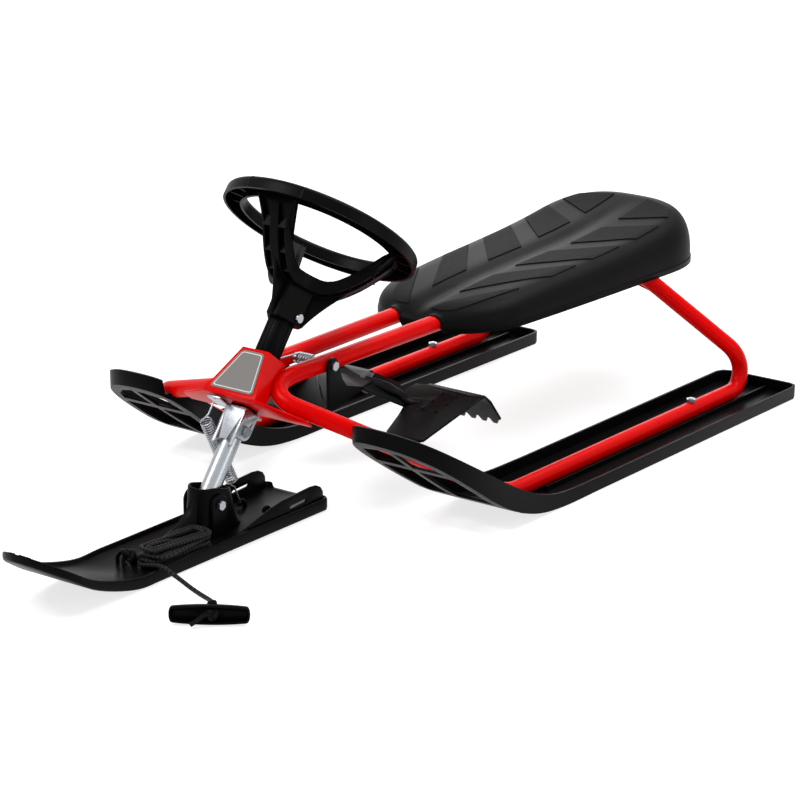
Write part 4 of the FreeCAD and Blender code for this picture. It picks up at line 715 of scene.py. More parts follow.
HANDLE_MID = Vector((0.168, -0.471, 0.0113))
HANDLE_TURN = 35
HANDLE_HALF = 0.042
HANDLE_HIGH = (0.0108, 0.0086)
HANDLE_END = 0.006
HANDLE_OPEN = 72
HANDLE_WALL = 0.0022
HANDLE_ROWS = 40
HANDLE_COLS = 22
BOSS_SPOT = Vector((0.003, 0.0066, 0.0072))
BOSS_WAY = Vector((-0.3, 0.66, 0.69))
BOSS_RINGS = ((0.0, 0.0052), (0.0036, 0.0052), (0.0044, 0.0046), (0.0044, 0.0026), (0.001, 0.0026))
BOSS_STEPS = 20
STUB_LINE = [(0.004, 0.0, 0.0), (-0.004, -0.004, 0.001), (-0.012, -0.0075, -0.004), (-0.019, -0.010, -0.0082)]
HANDLE_KNOT = Vector((0.003, -0.001, 0.0005))
HANDLE_KNOT_SIZE = 0.0017
EYE_KNOT = Vector((-0.001, -0.406, 0.0165))
EYE_KNOT_SIZE = 0.0032
KNOT_STEPS = 60


def knot_points(middle, size):
    """Points of a trefoil knot round a place"""
    points = []
    for k in range(KNOT_STEPS):
        t = math.tau * k / KNOT_STEPS
        points.append(middle + size * Vector((math.sin(t) + 2 * math.sin(2 * t), -math.sin(3 * t),
                                              math.cos(t) - 2 * math.cos(2 * t))))
    return points + points[:1]


class SLED_OT_tow_handle(Operator):
    """The grip on the tow rope, and the rope's knots"""

    bl_idname = "sled.tow_handle"
    bl_label = "Tow Handle"

    def grip(self, place):
        rings = []
        for t in shares(HANDLE_ROWS):
            x = -HANDLE_HALF * math.cos(math.pi * t)
            past = max(0.0, abs(x) - HANDLE_HALF + HANDLE_END) / HANDLE_END
            high = between(HANDLE_HIGH, (abs(x) / HANDLE_HALF) ** 2) * math.sqrt(max(0.0, 1 - past ** 4))
            turns = [math.radians(between((HANDLE_OPEN, 360 - HANDLE_OPEN), u)) for u in shares(HANDLE_COLS)]
            rings.append([(x, -high * math.cos(turn), high * math.sin(turn)) for turn in turns])
        handle = ski_piece("pull_handle", *lofted(rings, closed=False), place)
        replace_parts(handle, "tow_handle")
        thicken(handle, HANDLE_WALL)

    def boss(self, place):
        way = BOSS_WAY.normalized()
        side, other = square_to(way)
        turns = [math.tau * k / BOSS_STEPS for k in range(BOSS_STEPS)]
        rings = [[BOSS_SPOT + way * up + side * r * math.cos(turn) + other * r * math.sin(turn)
                  for turn in turns] for up, r in BOSS_RINGS]
        ski_piece("handle_boss", *lofted(rings), place)

    def execute(self, context):
        place = Matrix.Translation(HANDLE_MID) @ Matrix.Rotation(math.radians(HANDLE_TURN), 4, "Z")
        self.grip(place)
        self.boss(place)
        for name, points, spot in (
            ("handle_stub", through(STUB_LINE), place),
            ("handle_knot", knot_points(HANDLE_KNOT, HANDLE_KNOT_SIZE), place),
            ("eye_knot", knot_points(EYE_KNOT, EYE_KNOT_SIZE), None),
        ):
            tube_piece(name, points, sizes().rope_thick / 2, "black_rope", place=spot)
        return {"FINISHED"}


# Tow rope: from the eye to a hank on the ski, and over its edge to the handle

ROPE_LENGTH = 1.66
BRAID_PITCH = 0.0075
BRAID_STRANDS = 4
BRAID_DEEP = 0.4 * MM
EYE_OUT = (-0.0007, -0.404, 0.0145)
LEAD_ROUTE = [EYE_OUT, (0.007, -0.404, 0.0145), (0.0185, -0.404, 0.0234)]
HANK_MID_X = 0.026
HANK_FRONT_Y = -0.404
HANK_LOW_Z = 0.0118
HANK_RUN = 0.062
HANK_IN_R = 0.0052
HANK_PITCH = 0.0058
HANK_TURNS = 2
HANK_LAST_GAP = 0.0003
HANK_TURNED = (4, -3, 5, -6)
HANK_MOVED = ((0.001, 0.001), (-0.0015, -0.001), (0.0015, 0.001), (-0.0015, -0.0025))
TAIL_ROUTE = [
    (0.036, -0.4101, 0.0165), (0.0507, -0.4101, 0.0194), (0.077, -0.414, 0.0125), (0.108, -0.422, 0.007),
    (0.140, -0.435, 0.0085), (0.1532, -0.4494, 0.0145), (0.1636, -0.4614, 0.0195),
]


def hank_winding(into, out, then):
    """Half turns that wind in on one layer and out on the next, each with the layer its next run ends on"""
    step = HANK_PITCH / 2
    inward = [HANK_IN_R + k * step for k in reversed(range(2 * HANK_TURNS - 1))]
    outward = [HANK_IN_R + k * step for k in range(2 * HANK_TURNS)]
    turns = [(r, into) for r in inward[:-1]] + [(inward[-1], out)]
    return turns + [(r, out) for r in outward[:-1]] + [(outward[-1], then)]


def hank_points():
    """Control points of the hank: four layers, entered on the third and left on the lowest"""
    outer = HANK_IN_R + (2 * HANK_TURNS - 1) * HANK_PITCH / 2
    front = HANK_FRONT_Y + outer
    rear = front + HANK_RUN
    levels = [HANK_LOW_Z + k * HANK_PITCH for k in range(4)]
    x, z = HANK_MID_X + outer, levels[2]
    points = [(HANK_MID_X, HANK_FRONT_Y, z), (x, HANK_FRONT_Y, z)]
    side = -1
    for r, layer in hank_winding(2, 3, 1) + [(outer, 1)] + hank_winding(1, 0, 0):
        here, there = (rear, front) if side < 0 else (front, rear)
        bow = here - side * r
        away = (there - here) / 3
        points += [(x, here + 2 * away, points[-1][2]), (x, here + away, z)]
        points += [(x, here, z), (x, bow, z), (x + 2 * side * r, bow, z), (x + 2 * side * r, here, z)]
        x += 2 * side * r
        z = levels[layer]
        side = -side
    last = outer + HANK_PITCH + HANK_LAST_GAP
    points += [(x, rear - HANK_RUN / 3, z), (x, rear - 2 * HANK_RUN / 3, z)]
    middle = Vector((HANK_MID_X, front + HANK_RUN / 2))
    loose = []
    for x, y, z in points[1:]:
        layer = round((z - HANK_LOW_Z) / HANK_PITCH)
        spot = Vector((x, y)) - middle
        spot.rotate(Matrix.Rotation(math.radians(HANK_TURNED[layer]), 2))
        loose.append((*(middle + spot + Vector(HANK_MOVED[layer])), z))
    return points[:1] + loose + [(HANK_MID_X - outer, front - last, HANK_LOW_Z)]


class SLED_OT_tow_rope(Operator):
    """The braided tow rope"""

    bl_idname = "sled.tow_rope"
    bl_label = "Tow Rope"

    def execute(self, context):
        route = LEAD_ROUTE + hank_points() + TAIL_ROUTE
        curve, line = round_line("tow_rope", "NURBS", route, sizes().rope_thick / 2, fine=4)
        curve.resolution_u = 8
        line.order_u = 3
        line.use_endpoint_u = True
        rope = new_object("tow_rope", curve)
        paint(rope, braided_cord())
        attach(rope, "front_ski")
        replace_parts(rope, "rope_lead", "rope_hank", "rope_tail")
        return {"FINISHED"}


# Seat: one moulding, rounded over its edge, with a valley down its middle

SEAT_STATIONS = (0.093, 0.205, 0.440, 0.590)
SEAT_HALVES = (0.088, 0.097, 0.108, 0.113)
SEAT_CROWNS = (0.177, 0.190, 0.202, 0.228)
SEAT_LIP = 0.153
SEAT_BEAD_TOP = 0.160
SEAT_BEAD_OUT = 0.0008
SEAT_NOSE = 0.096
SEAT_NOSE_BLUNT = 2.3
SEAT_TAIL = 0.112
SEAT_TAIL_BLUNT = 2.5
SEAT_SHOULDER = 0.036
SEAT_ROUND = 2.5
SEAT_VALLEY = 0.005
SEAT_VALLEY_HALF = 0.013
SEAT_VALLEY_END = 0.555
SEAT_VALLEY_FADE = 0.14
SEAT_STEPS = 30
SEAT_RINGS = 26
SEAT_CROWD = 1.7
MOUTH_X = 0.0287
MOUTH_Z = 0.163
MOUTH_R = 0.0118
MOUTH_DEEP = 0.045


def along_seat(y, values):
    """Value at y on the smooth line through the four seat stations"""
    total = 0.0
    for i, value in enumerate(values):
        for j, other in enumerate(SEAT_STATIONS):
            if j != i:
                value *= (y - other) / (SEAT_STATIONS[i] - other)
        total += value
    return total


def seat_reach(x, y):
    """Distance in from the seat's outline"""
    half = along_seat(y, SEAT_HALVES)
    nose = SEAT_STATIONS[0] + SEAT_NOSE - y
    tail = y - SEAT_STATIONS[-1] + SEAT_TAIL
    for past, length, blunt in ((nose, SEAT_NOSE, SEAT_NOSE_BLUNT), (tail, SEAT_TAIL, SEAT_TAIL_BLUNT)):
        if past > 0:
            share = ((abs(x) / half) ** blunt + (past / length) ** blunt) ** (1 / blunt)
            return math.hypot(x, past) * (1 / share - 1)
    return half - abs(x)


def mouth_arch(x, y):
    """Height of the seat's edge where it arches over a tube, or none"""
    side = abs(x) - MOUTH_X
    if abs(side) >= MOUTH_R or y > SEAT_STATIONS[0] + MOUTH_DEEP:
        return 0.0
    return MOUTH_Z + math.sqrt(MOUTH_R ** 2 - side ** 2)


def seat_top(x, y):
    """Height of the seat's upper side"""
    reach = max(0.0, min(seat_reach(x, y), SEAT_SHOULDER))
    swell = (1 - (1 - reach / SEAT_SHOULDER) ** SEAT_ROUND) ** (1 / SEAT_ROUND)
    fade = within((SEAT_VALLEY_END - y) / SEAT_VALLEY_FADE)
    valley = SEAT_VALLEY * fade * math.exp(-(x / SEAT_VALLEY_HALF) ** 2)
    rise = along_seat(y, SEAT_CROWNS) - valley - SEAT_BEAD_TOP
    return max(SEAT_BEAD_TOP + rise * swell, mouth_arch(x, y))


def seat_outline():
    """Right half of the seat's outline, front to rear, as points and the spine points they face"""
    nose_end = SEAT_STATIONS[0] + SEAT_NOSE
    tail_start = SEAT_STATIONS[-1] - SEAT_TAIL
    ways = [polar(1, math.pi / 2 * t) for t in shares(SEAT_STEPS)]
    pairs = []

    def add_end(middle, reach, along, across, blunt):
        y = middle + reach * along ** (2 / blunt)
        pairs.append((Vector((along_seat(y, SEAT_HALVES) * across ** (2 / blunt), y)), Vector((0, middle))))

    for along, across in ways:
        add_end(nose_end, -SEAT_NOSE, along, across, SEAT_NOSE_BLUNT)
    for t in shares(SEAT_STEPS)[1:-1]:
        y = between((nose_end, tail_start), t)
        pairs.append((Vector((along_seat(y, SEAT_HALVES), y)), Vector((0, y))))
    for across, along in ways:
        add_end(tail_start, SEAT_TAIL, along, across, SEAT_TAIL_BLUNT)
    return pairs


class SLED_OT_seat(Operator):
    """The seat moulding"""

    bl_idname = "sled.seat"
    bl_label = "Seat"

    def execute(self, context):
        pairs = seat_outline()
        loop = pairs + [(Vector((-p.x, p.y)), q) for p, q in reversed(pairs[1:-1])]
        rings = []
        bead = [p + (p - q).normalized() * SEAT_BEAD_OUT for p, q in loop]
        for z in (SEAT_LIP, SEAT_BEAD_TOP):
            rings.append([(*spot, max(z, mouth_arch(*spot))) for spot in bead])
        for t in shares(SEAT_RINGS):
            spots = [p.lerp(q, t ** SEAT_CROWD) for p, q in loop]
            rings.append([(*spot, seat_top(*spot)) for spot in spots])
        seat = new_piece("seat_moulding", *lofted(rings), "frame", "seat_plastic")
        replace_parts(seat, "seat_shell")
        thicken(seat, sizes().seat_wall)
        return {"FINISHED"}


# Tread: grained panels in a row of arrowheads down each half of the seat

PANEL_INSIDE_X = (0.017, 0.020, 0.020, 0.024, 0.025)
PANEL_INSIDE_Y = ((0.109, 0.110), (0.161, 0.230), (0.275, 0.344), (0.386, 0.455), (0.490, 0.556))
PANEL_OUTSIDE_X = ((0.074, 0.074), (0.080, 0.080), (0.082, 0.082), (0.084, 0.084), (0.080, 0.070))
PANEL_OUTSIDE_Y = ((0.205, 0.206), (0.265, 0.316), (0.350, 0.408), (0.442, 0.492), (0.520, 0.542))
PANEL_BOW = (3.5, 1.0, 1.0, 1.0, 1.0)
PANEL_SINK = 0.0006
PANEL_ACROSS = 22
PANEL_ALONG = 14


class SLED_OT_tread(Operator):
    """Grained grip panels on the seat"""

    bl_idname = "sled.tread"
    bl_label = "Tread"

    def panel(self, k, side, lift):
        """Points of one panel, in rows from its inner to its outer end"""
        points = []
        for u in shares(PANEL_ACROSS):
            front = between((PANEL_INSIDE_Y[k][0], PANEL_OUTSIDE_Y[k][0]), u ** PANEL_BOW[k])
            rear = between((PANEL_INSIDE_Y[k][1], PANEL_OUTSIDE_Y[k][1]), u)
            for v in shares(PANEL_ALONG):
                x = side * between((PANEL_INSIDE_X[k], between(PANEL_OUTSIDE_X[k], v)), u)
                y = between((front, rear), v)
                points.append((x, y, seat_top(x, y) + lift))
        return points

    def execute(self, context):
        row = PANEL_ALONG + 1
        verts, faces = [], []
        for side in (-1, 1):
            for k in range(len(PANEL_INSIDE_X)):
                start = len(verts)
                verts += self.panel(k, side, sizes().tread_rise)
                drop = len(verts) - start
                verts += self.panel(k, side, -PANEL_SINK)
                for i in range(PANEL_ACROSS):
                    first = start + i * row
                    faces += bridge(first, first + row, row, closed=False)
                rim = [start + j for j in range(row)]
                rim += [start + i * row + PANEL_ALONG for i in range(1, PANEL_ACROSS + 1)]
                rim += [start + PANEL_ACROSS * row + j for j in reversed(range(PANEL_ALONG))]
                rim += [start + i * row for i in reversed(range(1, PANEL_ACROSS))]
                faces += [(a, b, b + drop, a + drop) for a, b in zip(rim, rim[1:] + rim[:1])]
        tread = new_piece("seat_tread", verts, faces, "frame", "seat_plastic", tread_black())
        soften(tread, sizes().tread_rise / 3)
        return {"FINISHED"}


# Steering wheel: a hollow rim with ribs inside, three dished spokes and a three-sided hub

RIM_OUT = 0.115
RIM_IN = 0.0915
RIM_TOP = 0.0075
RIM_LOW = -0.008
RIM_ROUND = 0.0058
ROUND_STEPS = 6
RIM_STEPS = 120
RIM_RIB_LOW = -0.001
RIM_RIB_THICK = 0.002
SEAM_TURNS = (-68, -33, -105)
SEAM_RISE = 0.0003
SEAM_WIDE = 0.35
SEAM_SHIFT = 0.01
SPOKE_TURNS = (-90, 30, 150)
SPOKE_HALF = 0.017
SPOKE_FILLET = 0.040
SPOKE_FLARE = 0.011
FLARE_FROM = 0.072
SPOKE_END = 0.093
SPOKE_TOP = 0.0
SPOKE_DEEP = 0.016
SPOKE_THIN = 0.0045
SPOKE_SKIN = 0.003
SPOKE_RINGS = 12
SPOKE_EDGE = 0.0014
SPOKE_RUN_END = SPOKE_END - 0.004
SPOKE_RUNS = 10
FILLET_STEPS = 12
DISH_FLAT = 0.030
DISH_SOFT = 0.8
HUB_TOP = -0.060
HUB_LOW = -0.116
HUB_CHAMFER = 0.0012
HUB_HEIGHTS = (-0.062, -0.080, -0.105, HUB_LOW + HUB_CHAMFER, HUB_LOW)
HUB_STEPS = 90
HUB_FACE = (0.0192, 0.0176)
HUB_EDGE = 0.79
BAR_HALF = 0.0058
BAR_SPAN = (0.016, SPOKE_END - 0.002)
BAR_STEPS = 14
CROSS_RIBS = (0.040, 0.058, 0.077)
CROSS_HALF = 0.001
CROSS_GAP = 0.001
RIB_LIFT = 0.002
WEB_LOW = (0.0235, -0.1152)
WEB_BEND = (0.034, -0.088)
WEB_SPAN = (0.064, 0.012)
WEB_HALF = 0.002
WEB_STEPS = (16, 8)


def rim_line(skin):
    """Half section of the rim at a depth below its outer skin, from its outside foot to its inside foot"""
    round_r = RIM_ROUND - skin
    line = [(RIM_OUT - skin, RIM_LOW)]
    for centre, start in ((RIM_OUT - RIM_ROUND, 0), (RIM_IN + RIM_ROUND, 90)):
        for t in shares(ROUND_STEPS):
            out, up = polar(round_r, math.radians(start + 90 * t))
            line.append((centre + out, RIM_TOP - RIM_ROUND + up))
    return line + [(RIM_IN + skin, RIM_LOW)]


def spoke_drop(r):
    """Height of the spokes' upper skin at a radius"""
    t = max(0.0, (r - DISH_FLAT) / (SPOKE_END - DISH_FLAT))
    return HUB_TOP + (SPOKE_TOP - HUB_TOP) * (1 + DISH_SOFT) * t * t / (t + DISH_SOFT)


def flare(r):
    """How far a radius is into the flare at the spokes' ends"""
    return max(0.0, (r - FLARE_FROM) / (SPOKE_END - FLARE_FROM))


def spoke_half(r):
    """Half width of a spoke, which flares where it meets the rim"""
    return SPOKE_HALF + SPOKE_FLARE * flare(r) ** 2


def spoke_depth(r):
    """Depth of a spoke's sides, which thins where it meets the rim"""
    return SPOKE_DEEP - SPOKE_THIN * flare(r)


def spoke_outline():
    """Outline of the three spokes, seen along the column"""
    reach = (SPOKE_HALF + SPOKE_FILLET) / math.sin(math.pi / 3)
    runs = [between((reach / 2, SPOKE_RUN_END), t) for t in shares(SPOKE_RUNS)]
    points = []
    for turn in SPOKE_TURNS:
        way = Vector(polar(1, math.radians(turn)))
        side = Vector((-way.y, way.x))
        points += [way * u - side * spoke_half(u) for u in runs]
        points += [way * SPOKE_END + side * spoke_half(SPOKE_END) * k / 4 for k in range(-4, 5)]
        points += [way * u + side * spoke_half(u) for u in reversed(runs)]
        middle = polar(reach, math.radians(turn + 60))
        for t in shares(FILLET_STEPS)[1:-1]:
            bend = polar(SPOKE_FILLET, math.radians(turn - 90 - 60 * t))
            points.append(Vector((middle[0] + bend[0], middle[1] + bend[1])))
    return points


def rib_section(r, half, deep):
    """Corners of a rib under the spokes' skin, across and up"""
    low, high = spoke_drop(r) - deep, spoke_drop(r) - SPOKE_SKIN / 2
    return (-half, low), (half, low), (half, high), (-half, high)


def wheel_piece(name, verts, faces):
    """A piece of the wheel, from the column's frame"""
    return new_piece(name, verts, faces, "steering", "black_plastic", place=COLUMN)


class SLED_OT_steering_wheel(Operator):
    """The moulded steering wheel"""

    bl_idname = "sled.steering_wheel"
    bl_label = "Steering Wheel"

    def rim(self):
        inside = rim_line(sizes().rim_thick)[::-1]
        plain, raised = rim_line(0.0) + inside, rim_line(-SEAM_RISE) + inside
        turns = [(360 * k / RIM_STEPS, plain) for k in range(RIM_STEPS)]
        for turn in SEAM_TURNS:
            seam = turn % 360
            turns += [(seam - SEAM_WIDE, plain), (seam + SEAM_SHIFT, raised), (seam + SEAM_WIDE, plain)]
        rings = []
        for turn, section in sorted(turns, key=lambda pair: pair[0]):
            rings.append([(*polar(r, math.radians(turn)), z) for r, z in section])
        verts, faces = lofted(rings, around=True)
        top = rim_line(sizes().rim_thick / 2)[1:-1]
        section = [(top[0][0], RIM_RIB_LOW)] + top + [(top[-1][0], RIM_RIB_LOW)]
        for k in range(sizes().rim_ribs):
            spin = Matrix.Rotation(math.tau * (k + 0.5) / sizes().rim_ribs, 4, "Z")
            loft(verts, faces, [[spin @ Vector((r, y, z)) for r, z in section]
                                for y in (-RIM_RIB_THICK / 2, RIM_RIB_THICK / 2)], caps=True)
        return wheel_piece("wheel_rim", verts, faces)

    def spokes(self):
        outline = spoke_outline()
        rings = [[(*p, spoke_drop(p.length) - spoke_depth(p.length) * deep) for p in outline]
                 for deep in (1.0, 0.5)]
        for k in range(SPOKE_RINGS):
            share = 1 - k / SPOKE_RINGS
            rings.append([(p.x * share, p.y * share, spoke_drop(p.length * share)) for p in outline])
        verts, faces = lofted(rings)
        faces.append(tuple(range(len(verts) - len(outline), len(verts))))
        dish = wheel_piece("wheel_spokes", verts, faces)
        thicken(dish, SPOKE_SKIN)
        soften(dish, SPOKE_EDGE, segments=3, angle=50)

    def ribs(self):
        radii = [between(BAR_SPAN, t) for t in shares(BAR_STEPS)]
        bars = [[[(r, *p) for p in rib_section(r, BAR_HALF, spoke_depth(r))] for r in radii]]
        for r in CROSS_RIBS:
            corners = rib_section(r, spoke_half(r) - CROSS_GAP, SPOKE_DEEP - RIB_LIFT)
            bars.append([[(x, *p) for p in corners] for x in (r - CROSS_HALF, r + CROSS_HALF)])
        end = (WEB_SPAN[0], spoke_drop(WEB_SPAN[0]) - SPOKE_DEEP + RIB_LIFT)
        side = [(WEB_SPAN[1], WEB_LOW[1])]
        side += [tuple((1 - u) ** 2 * a + 2 * u * (1 - u) * b + u * u * c
                       for a, b, c in zip(WEB_LOW, WEB_BEND, end)) for u in shares(WEB_STEPS[0])]
        for r in (between(WEB_SPAN, t) for t in shares(WEB_STEPS[1])):
            side.append((r, spoke_drop(r) - SPOKE_SKIN / 2))
        bars.append([[(r, y, z) for r, z in side] for y in (-WEB_HALF, WEB_HALF)])
        groups = []
        for turn in SPOKE_TURNS:
            spin = Matrix.Rotation(math.radians(turn), 4, "Z")
            groups += [[[spin @ Vector(p) for p in ring] for ring in bar] for bar in bars]
        soften(wheel_piece("wheel_ribs", *lofted(*groups, caps=True)), sizes().sheet_round)

    def hub(self):
        rings = []
        for z in HUB_HEIGHTS:
            face = between(HUB_FACE, (z - HUB_TOP) / (HUB_LOW - HUB_TOP))
            face -= HUB_CHAMFER if z == HUB_LOW else 0.0
            ring = []
            for k in range(HUB_STEPS):
                turn = math.tau * k / HUB_STEPS
                past = (turn - math.radians(SPOKE_TURNS[0])) % (math.tau / 3) - math.pi / 3
                ring.append((*polar(face / max(math.cos(past), HUB_EDGE), turn), z))
            rings.append(ring)
        wheel_piece("wheel_hub", *lofted(rings, caps=True))

    def execute(self, context):
        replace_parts(self.rim(), "steering_wheel")
        self.spokes()
        self.ribs()
        self.hub()
        return {"FINISHED"}


# Label: a plain film plate with a thin border on the head's front face

FACE_TOP = Vector((0.0185, -0.022, -0.160))
FACE_LOW = Vector((0.036, -0.035, -0.220))
LABEL_EDGE = 0.0042
LABEL_CORNER = 0.005
LABEL_THICK = 0.0008
BORDER_IN = 0.0022
BORDER_WIDE = 0.001
CORNER_STEPS = 8


def label_ring(inset, corner, lift):
    """Rounded outline on the head's front face, in the column's frame"""
    down = Vector((0, FACE_LOW.y - FACE_TOP.y, FACE_LOW.z - FACE_TOP.z))
    tall = down.length
    down.normalize()
    out = Vector((-1, 0, 0)).cross(down)
    spread = (FACE_LOW.x - FACE_TOP.x) / tall
    slant = math.hypot(1, spread)

    def half(t):
        return FACE_TOP.x + spread * t - inset * slant

    corners = [Vector((side * half(t), t)) for side, t in (
        (-1, inset), (1, inset), (1, tall - inset), (-1, tall - inset))]
    ring = []
    for k, spot in enumerate(corners):
        back = (corners[k - 1] - spot).normalized()
        on = (corners[(k + 1) % 4] - spot).normalized()
        for u in shares(CORNER_STEPS):
            p = spot + back * corner * (1 - u) ** 2 + on * corner * u ** 2
            ring.append(Vector((p.x, FACE_TOP.y, FACE_TOP.z)) + down * p.y + out * lift)
    return ring


class SLED_OT_label(Operator):
    """Plain label plate on the head"""

    bl_idname = "sled.label"
    bl_label = "Label"

    def execute(self, context):
        inner = BORDER_IN + BORDER_WIDE
        levels = ((0.0, 0.0), (0.0, LABEL_THICK), (BORDER_IN, LABEL_THICK), (inner, LABEL_THICK))
        verts, faces = lofted([label_ring(LABEL_EDGE + inset, LABEL_CORNER - inset / 2, lift)
                               for inset, lift in levels])
        count = len(verts) // 4
        faces.append(tuple(range(3 * count, 4 * count)))
        label = new_piece("head_film", verts, faces, "frame", "label_grey", label_film(), border_ink(),
                          place=COLUMN)
        for face in label.data.polygons[2 * count:3 * count]:
            face.material_index = 1
        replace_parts(label, "head_label")
        return {"FINISHED"}


# Suspension spring: round wire wound in a close coil, with a bent leg at each end

SUSPENSION_TOP = Vector((-0.0245, -0.248, 0.124))
SUSPENSION_LOW = Vector((-0.018, -0.213, 0.046))
SUSPENSION_R = 0.0064
SUSPENSION_TURNS = 29
SPRING_WIRE = 0.001
SUSPENSION_HOOK = Vector((-0.0245, -0.2342, 0.1417))
SUSPENSION_EYE = Vector((-0.0165, -0.2012, 0.0173))
SUSPENSION_BENDS = (0.35, 0.3)
TURN_STEPS = 14


def coil_points(top, low, radius, turns):
    """Points of a helix between two places"""
    side, other = square_to((low - top).normalized())
    points = []
    for k in range(turns * TURN_STEPS + 1):
        turn = math.tau * k / TURN_STEPS
        spot = top.lerp(low, k / (turns * TURN_STEPS))
        points.append(spot + side * radius * math.cos(turn) + other * radius * math.sin(turn))
    return points


class SLED_OT_suspension_spring(Operator):
    """The coil that pulls the front ski level"""

    bl_idname = "sled.suspension_spring"
    bl_label = "Suspension Spring"

    def execute(self, context):
        coil = coil_points(SUSPENSION_TOP, SUSPENSION_LOW, SUSPENSION_R, SUSPENSION_TURNS)
        top_bend = SUSPENSION_TOP.lerp(SUSPENSION_HOOK, SUSPENSION_BENDS[0])
        low_bend = SUSPENSION_LOW.lerp(SUSPENSION_EYE, SUSPENSION_BENDS[1])
        line = [SUSPENSION_HOOK, SUSPENSION_HOOK.lerp(top_bend, 0.5), top_bend] + coil
        line += [low_bend, SUSPENSION_EYE]
        spring = new_object("suspension_coil", tube_mesh("suspension_coil", line, SPRING_WIRE))
        paint(spring, zinc_plate())
        smooth(spring, ROUND_SHARP)
        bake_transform(spring)
        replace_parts(spring, "suspension_spring")
        return {"FINISHED"}


# Brake: the stamped bead that stiffens each arm

BEAD_LINE = [(0.0292, -0.0310, 0.1290), (0.0361, -0.0048, 0.1126), (0.0409, 0.0144, 0.1006),
             (0.0505, 0.0226, 0.0918), (0.0625, 0.0305, 0.0922)]
BEAD_UP = [(0.7232, 0.2314, 0.651), (0.7232, 0.2314, 0.651), (0.6, 0.1, 0.79), (0.2, -0.15, 0.97),
           (0.0, -0.2, 0.98)]
BEAD_HALF = (0.0040, 0.0085, 0.008, 0.0072, 0.0055)
BEAD_HIGH = (0.0004, 0.0058, 0.0052, 0.0042, 0.0012)
BEAD_STEPS = 5
BEAD_STRIPS = 12
BEAD_ROUND = 0.8


class SLED_OT_brake_beads(Operator):
    """Stamped beads on the brake's arms"""

    bl_idname = "sled.brake_beads"
    bl_label = "Brake Beads"

    def execute(self, context):
        line, ups = through(BEAD_LINE, BEAD_STEPS), through(BEAD_UP, BEAD_STEPS)
        rounds = through([(*pair, 0) for pair in zip(BEAD_HALF, BEAD_HIGH)], BEAD_STEPS)
        turns = [math.pi * t for t in shares(BEAD_STRIPS)]
        rings = []
        for k, spot in enumerate(line):
            way = line[min(k + 1, len(line) - 1)] - line[max(k - 1, 0)]
            up = ups[k].normalized()
            across = way.cross(up).normalized()
            half, high, _ = rounds[k]
            rings.append([spot + across * half * math.cos(turn) + up * high * math.sin(turn) ** BEAD_ROUND
                          for turn in turns])
        pair = [[[(side * p.x, p.y, p.z) for p in ring] for ring in rings] for side in (-1, 1)]
        new_piece("brake_beads", *lofted(*pair, closed=False, caps=True), "brake", "black_paint")
        return {"FINISHED"}


# Stage

VIEW_FROM = (2.205, -2.827, 1.232)
VIEW_AZIMUTH = 37.26
VIEW_ELEVATION = 17.68
VIEW_LENS = 146.8
SENSOR_WIDE = 36.0
FLOOR_SPAN = 30.0
FLOOR_DROP = -0.0005
ROOM_LIGHT = 0.35
PAPER_GLOW = 0.75
PAPER_SHADE = 0.5
WHITE = (1, 1, 1, 1)
# Lamps: name, place, what they face, size and power
PANELS = (
    ("key_panel", (-1.2, -1.6, 2.6), (0, 0, 0.1), 1.2, 52),
    ("top_panel", (0.4, 1.3, 2.4), (0, 0.1, 0.1), 1.6, 44),
    ("side_panel", (2.6, 0.2, 1.0), (0, 0, 0.1), 1.2, 10),
    ("back_panel", (-1.8, 2.4, 1.1), (0, 0.2, 0.1), 1.6, 14),
)


def seen_directly(tree):
    """Whether a ray sees the studio straight, in a mirror or through glass"""
    rays = add(tree, "ShaderNodeLightPath").outputs
    mirror = maths(tree, "MAXIMUM", rays["Is Glossy Ray"], rays["Is Transmission Ray"])
    return maths(tree, "MAXIMUM", rays["Is Camera Ray"], mirror)


def white_sweep():
    # Lit paper sweep: seen as white with a soft shadow, while it throws back only the light it gets
    made, tree, shader = new_material("white_paper_sweep", colours().floor, 0.9, Specular_IOR_Level=0.1)
    if tree:
        glow = add(tree, "ShaderNodeEmission", {"Color": WHITE, "Strength": PAPER_GLOW})
        shade = add(tree, "ShaderNodeBsdfDiffuse", {"Color": (PAPER_SHADE, PAPER_SHADE, PAPER_SHADE, 1)})
        seen = add(tree, "ShaderNodeAddShader", {0: glow.outputs[0], 1: shade.outputs[0]})
        mix = add(tree, "ShaderNodeMixShader", {
            0: seen_directly(tree), 1: shader.outputs[0], 2: seen.outputs[0]})
        tree.links.new(mix.outputs[0], tree.nodes["Material Output"].inputs["Surface"])
    return made


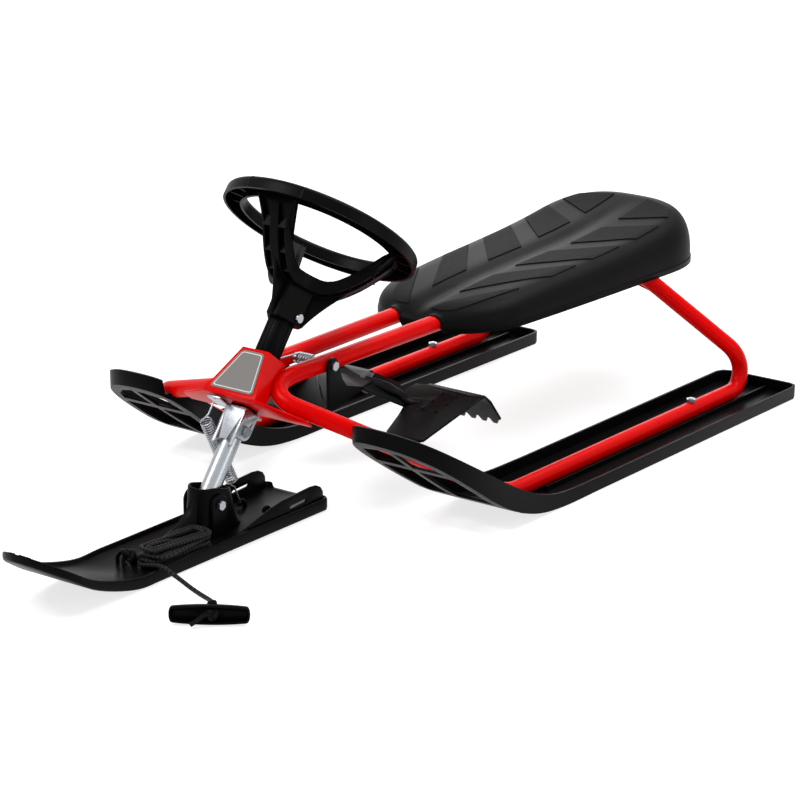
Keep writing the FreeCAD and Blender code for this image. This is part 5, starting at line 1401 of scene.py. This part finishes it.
class SLED_OT_stage(Operator):
    """Pale floor, soft light and the camera"""

    bl_idname = "sled.stage"
    bl_label = "Stage"

    def execute(self, context):
        half = FLOOR_SPAN / 2
        mesh = bpy.data.meshes.new("studio_floor")
        corners = ((-half, -half), (half, -half), (half, half), (-half, half))
        mesh.from_pydata([(*corner, FLOOR_DROP) for corner in corners], [], [(0, 1, 2, 3)])
        floor = new_object("studio_floor", mesh)
        paint(floor, white_sweep())

        world = bpy.data.worlds.new("studio")
        context.scene.world = world
        world.use_nodes = True
        tree = world.node_tree
        room = tree.nodes["Background"]
        room.inputs["Color"].default_value = WHITE
        room.inputs["Strength"].default_value = ROOM_LIGHT
        seen = add(tree, "ShaderNodeBackground", {"Color": WHITE, "Strength": 1.0})
        mix = add(tree, "ShaderNodeMixShader", {
            0: seen_directly(tree), 1: room.outputs[0], 2: seen.outputs[0]})
        tree.links.new(mix.outputs[0], tree.nodes["World Output"].inputs["Surface"])

        for name, place, target, span, power in PANELS:
            panel = bpy.data.lights.new(name, "AREA")
            panel.shape = "SQUARE"
            panel.size = span
            panel.energy = power
            lamp = new_object(name, panel)
            lamp.location = place
            way = Vector(target) - Vector(place)
            lamp.rotation_euler = way.to_track_quat("-Z", "Y").to_euler()

        lens = bpy.data.cameras.new("view")
        lens.sensor_width = SENSOR_WIDE
        lens.lens = VIEW_LENS
        camera = new_object("view", lens)
        camera.location = VIEW_FROM
        camera.rotation_euler = (math.radians(90 - VIEW_ELEVATION), 0, math.radians(VIEW_AZIMUTH))
        context.scene.camera = camera
        context.scene.view_settings.view_transform = "Standard"
        return {"FINISHED"}


OPERATORS = (
    SLED_OT_frame_finishes,
    SLED_OT_runners,
    SLED_OT_front_ski,
    SLED_OT_ski_tower,
    SLED_OT_tow_handle,
    SLED_OT_tow_rope,
    SLED_OT_seat,
    SLED_OT_tread,
    SLED_OT_steering_wheel,
    SLED_OT_label,
    SLED_OT_suspension_spring,
    SLED_OT_brake_beads,
    SLED_OT_stage,
)


class SLED_PT_pieces(Panel):
    """Lists the sled's pieces"""

    bl_idname = "SLED_PT_pieces"
    bl_label = "Steering Sled"
    bl_space_type = "VIEW_3D"
    bl_region_type = "UI"
    bl_category = "Sled"

    def draw(self, context):
        for operator in OPERATORS:
            self.layout.operator(operator.bl_idname)


CLASSES = (SledSizes, SledColours, *OPERATORS, SLED_PT_pieces)


def register():
    for made in CLASSES:
        bpy.utils.register_class(made)
    bpy.types.Scene.sled_sizes = PointerProperty(type=SledSizes)
    bpy.types.Scene.sled_colours = PointerProperty(type=SledColours)


def unregister():
    del bpy.types.Scene.sled_colours
    del bpy.types.Scene.sled_sizes
    for made in reversed(CLASSES):
        bpy.utils.unregister_class(made)


def main():
    register()
    for operator in OPERATORS:
        group, name = operator.bl_idname.split(".")
        getattr(getattr(bpy.ops, group), name)()


if __name__ == "__main__":
    main()
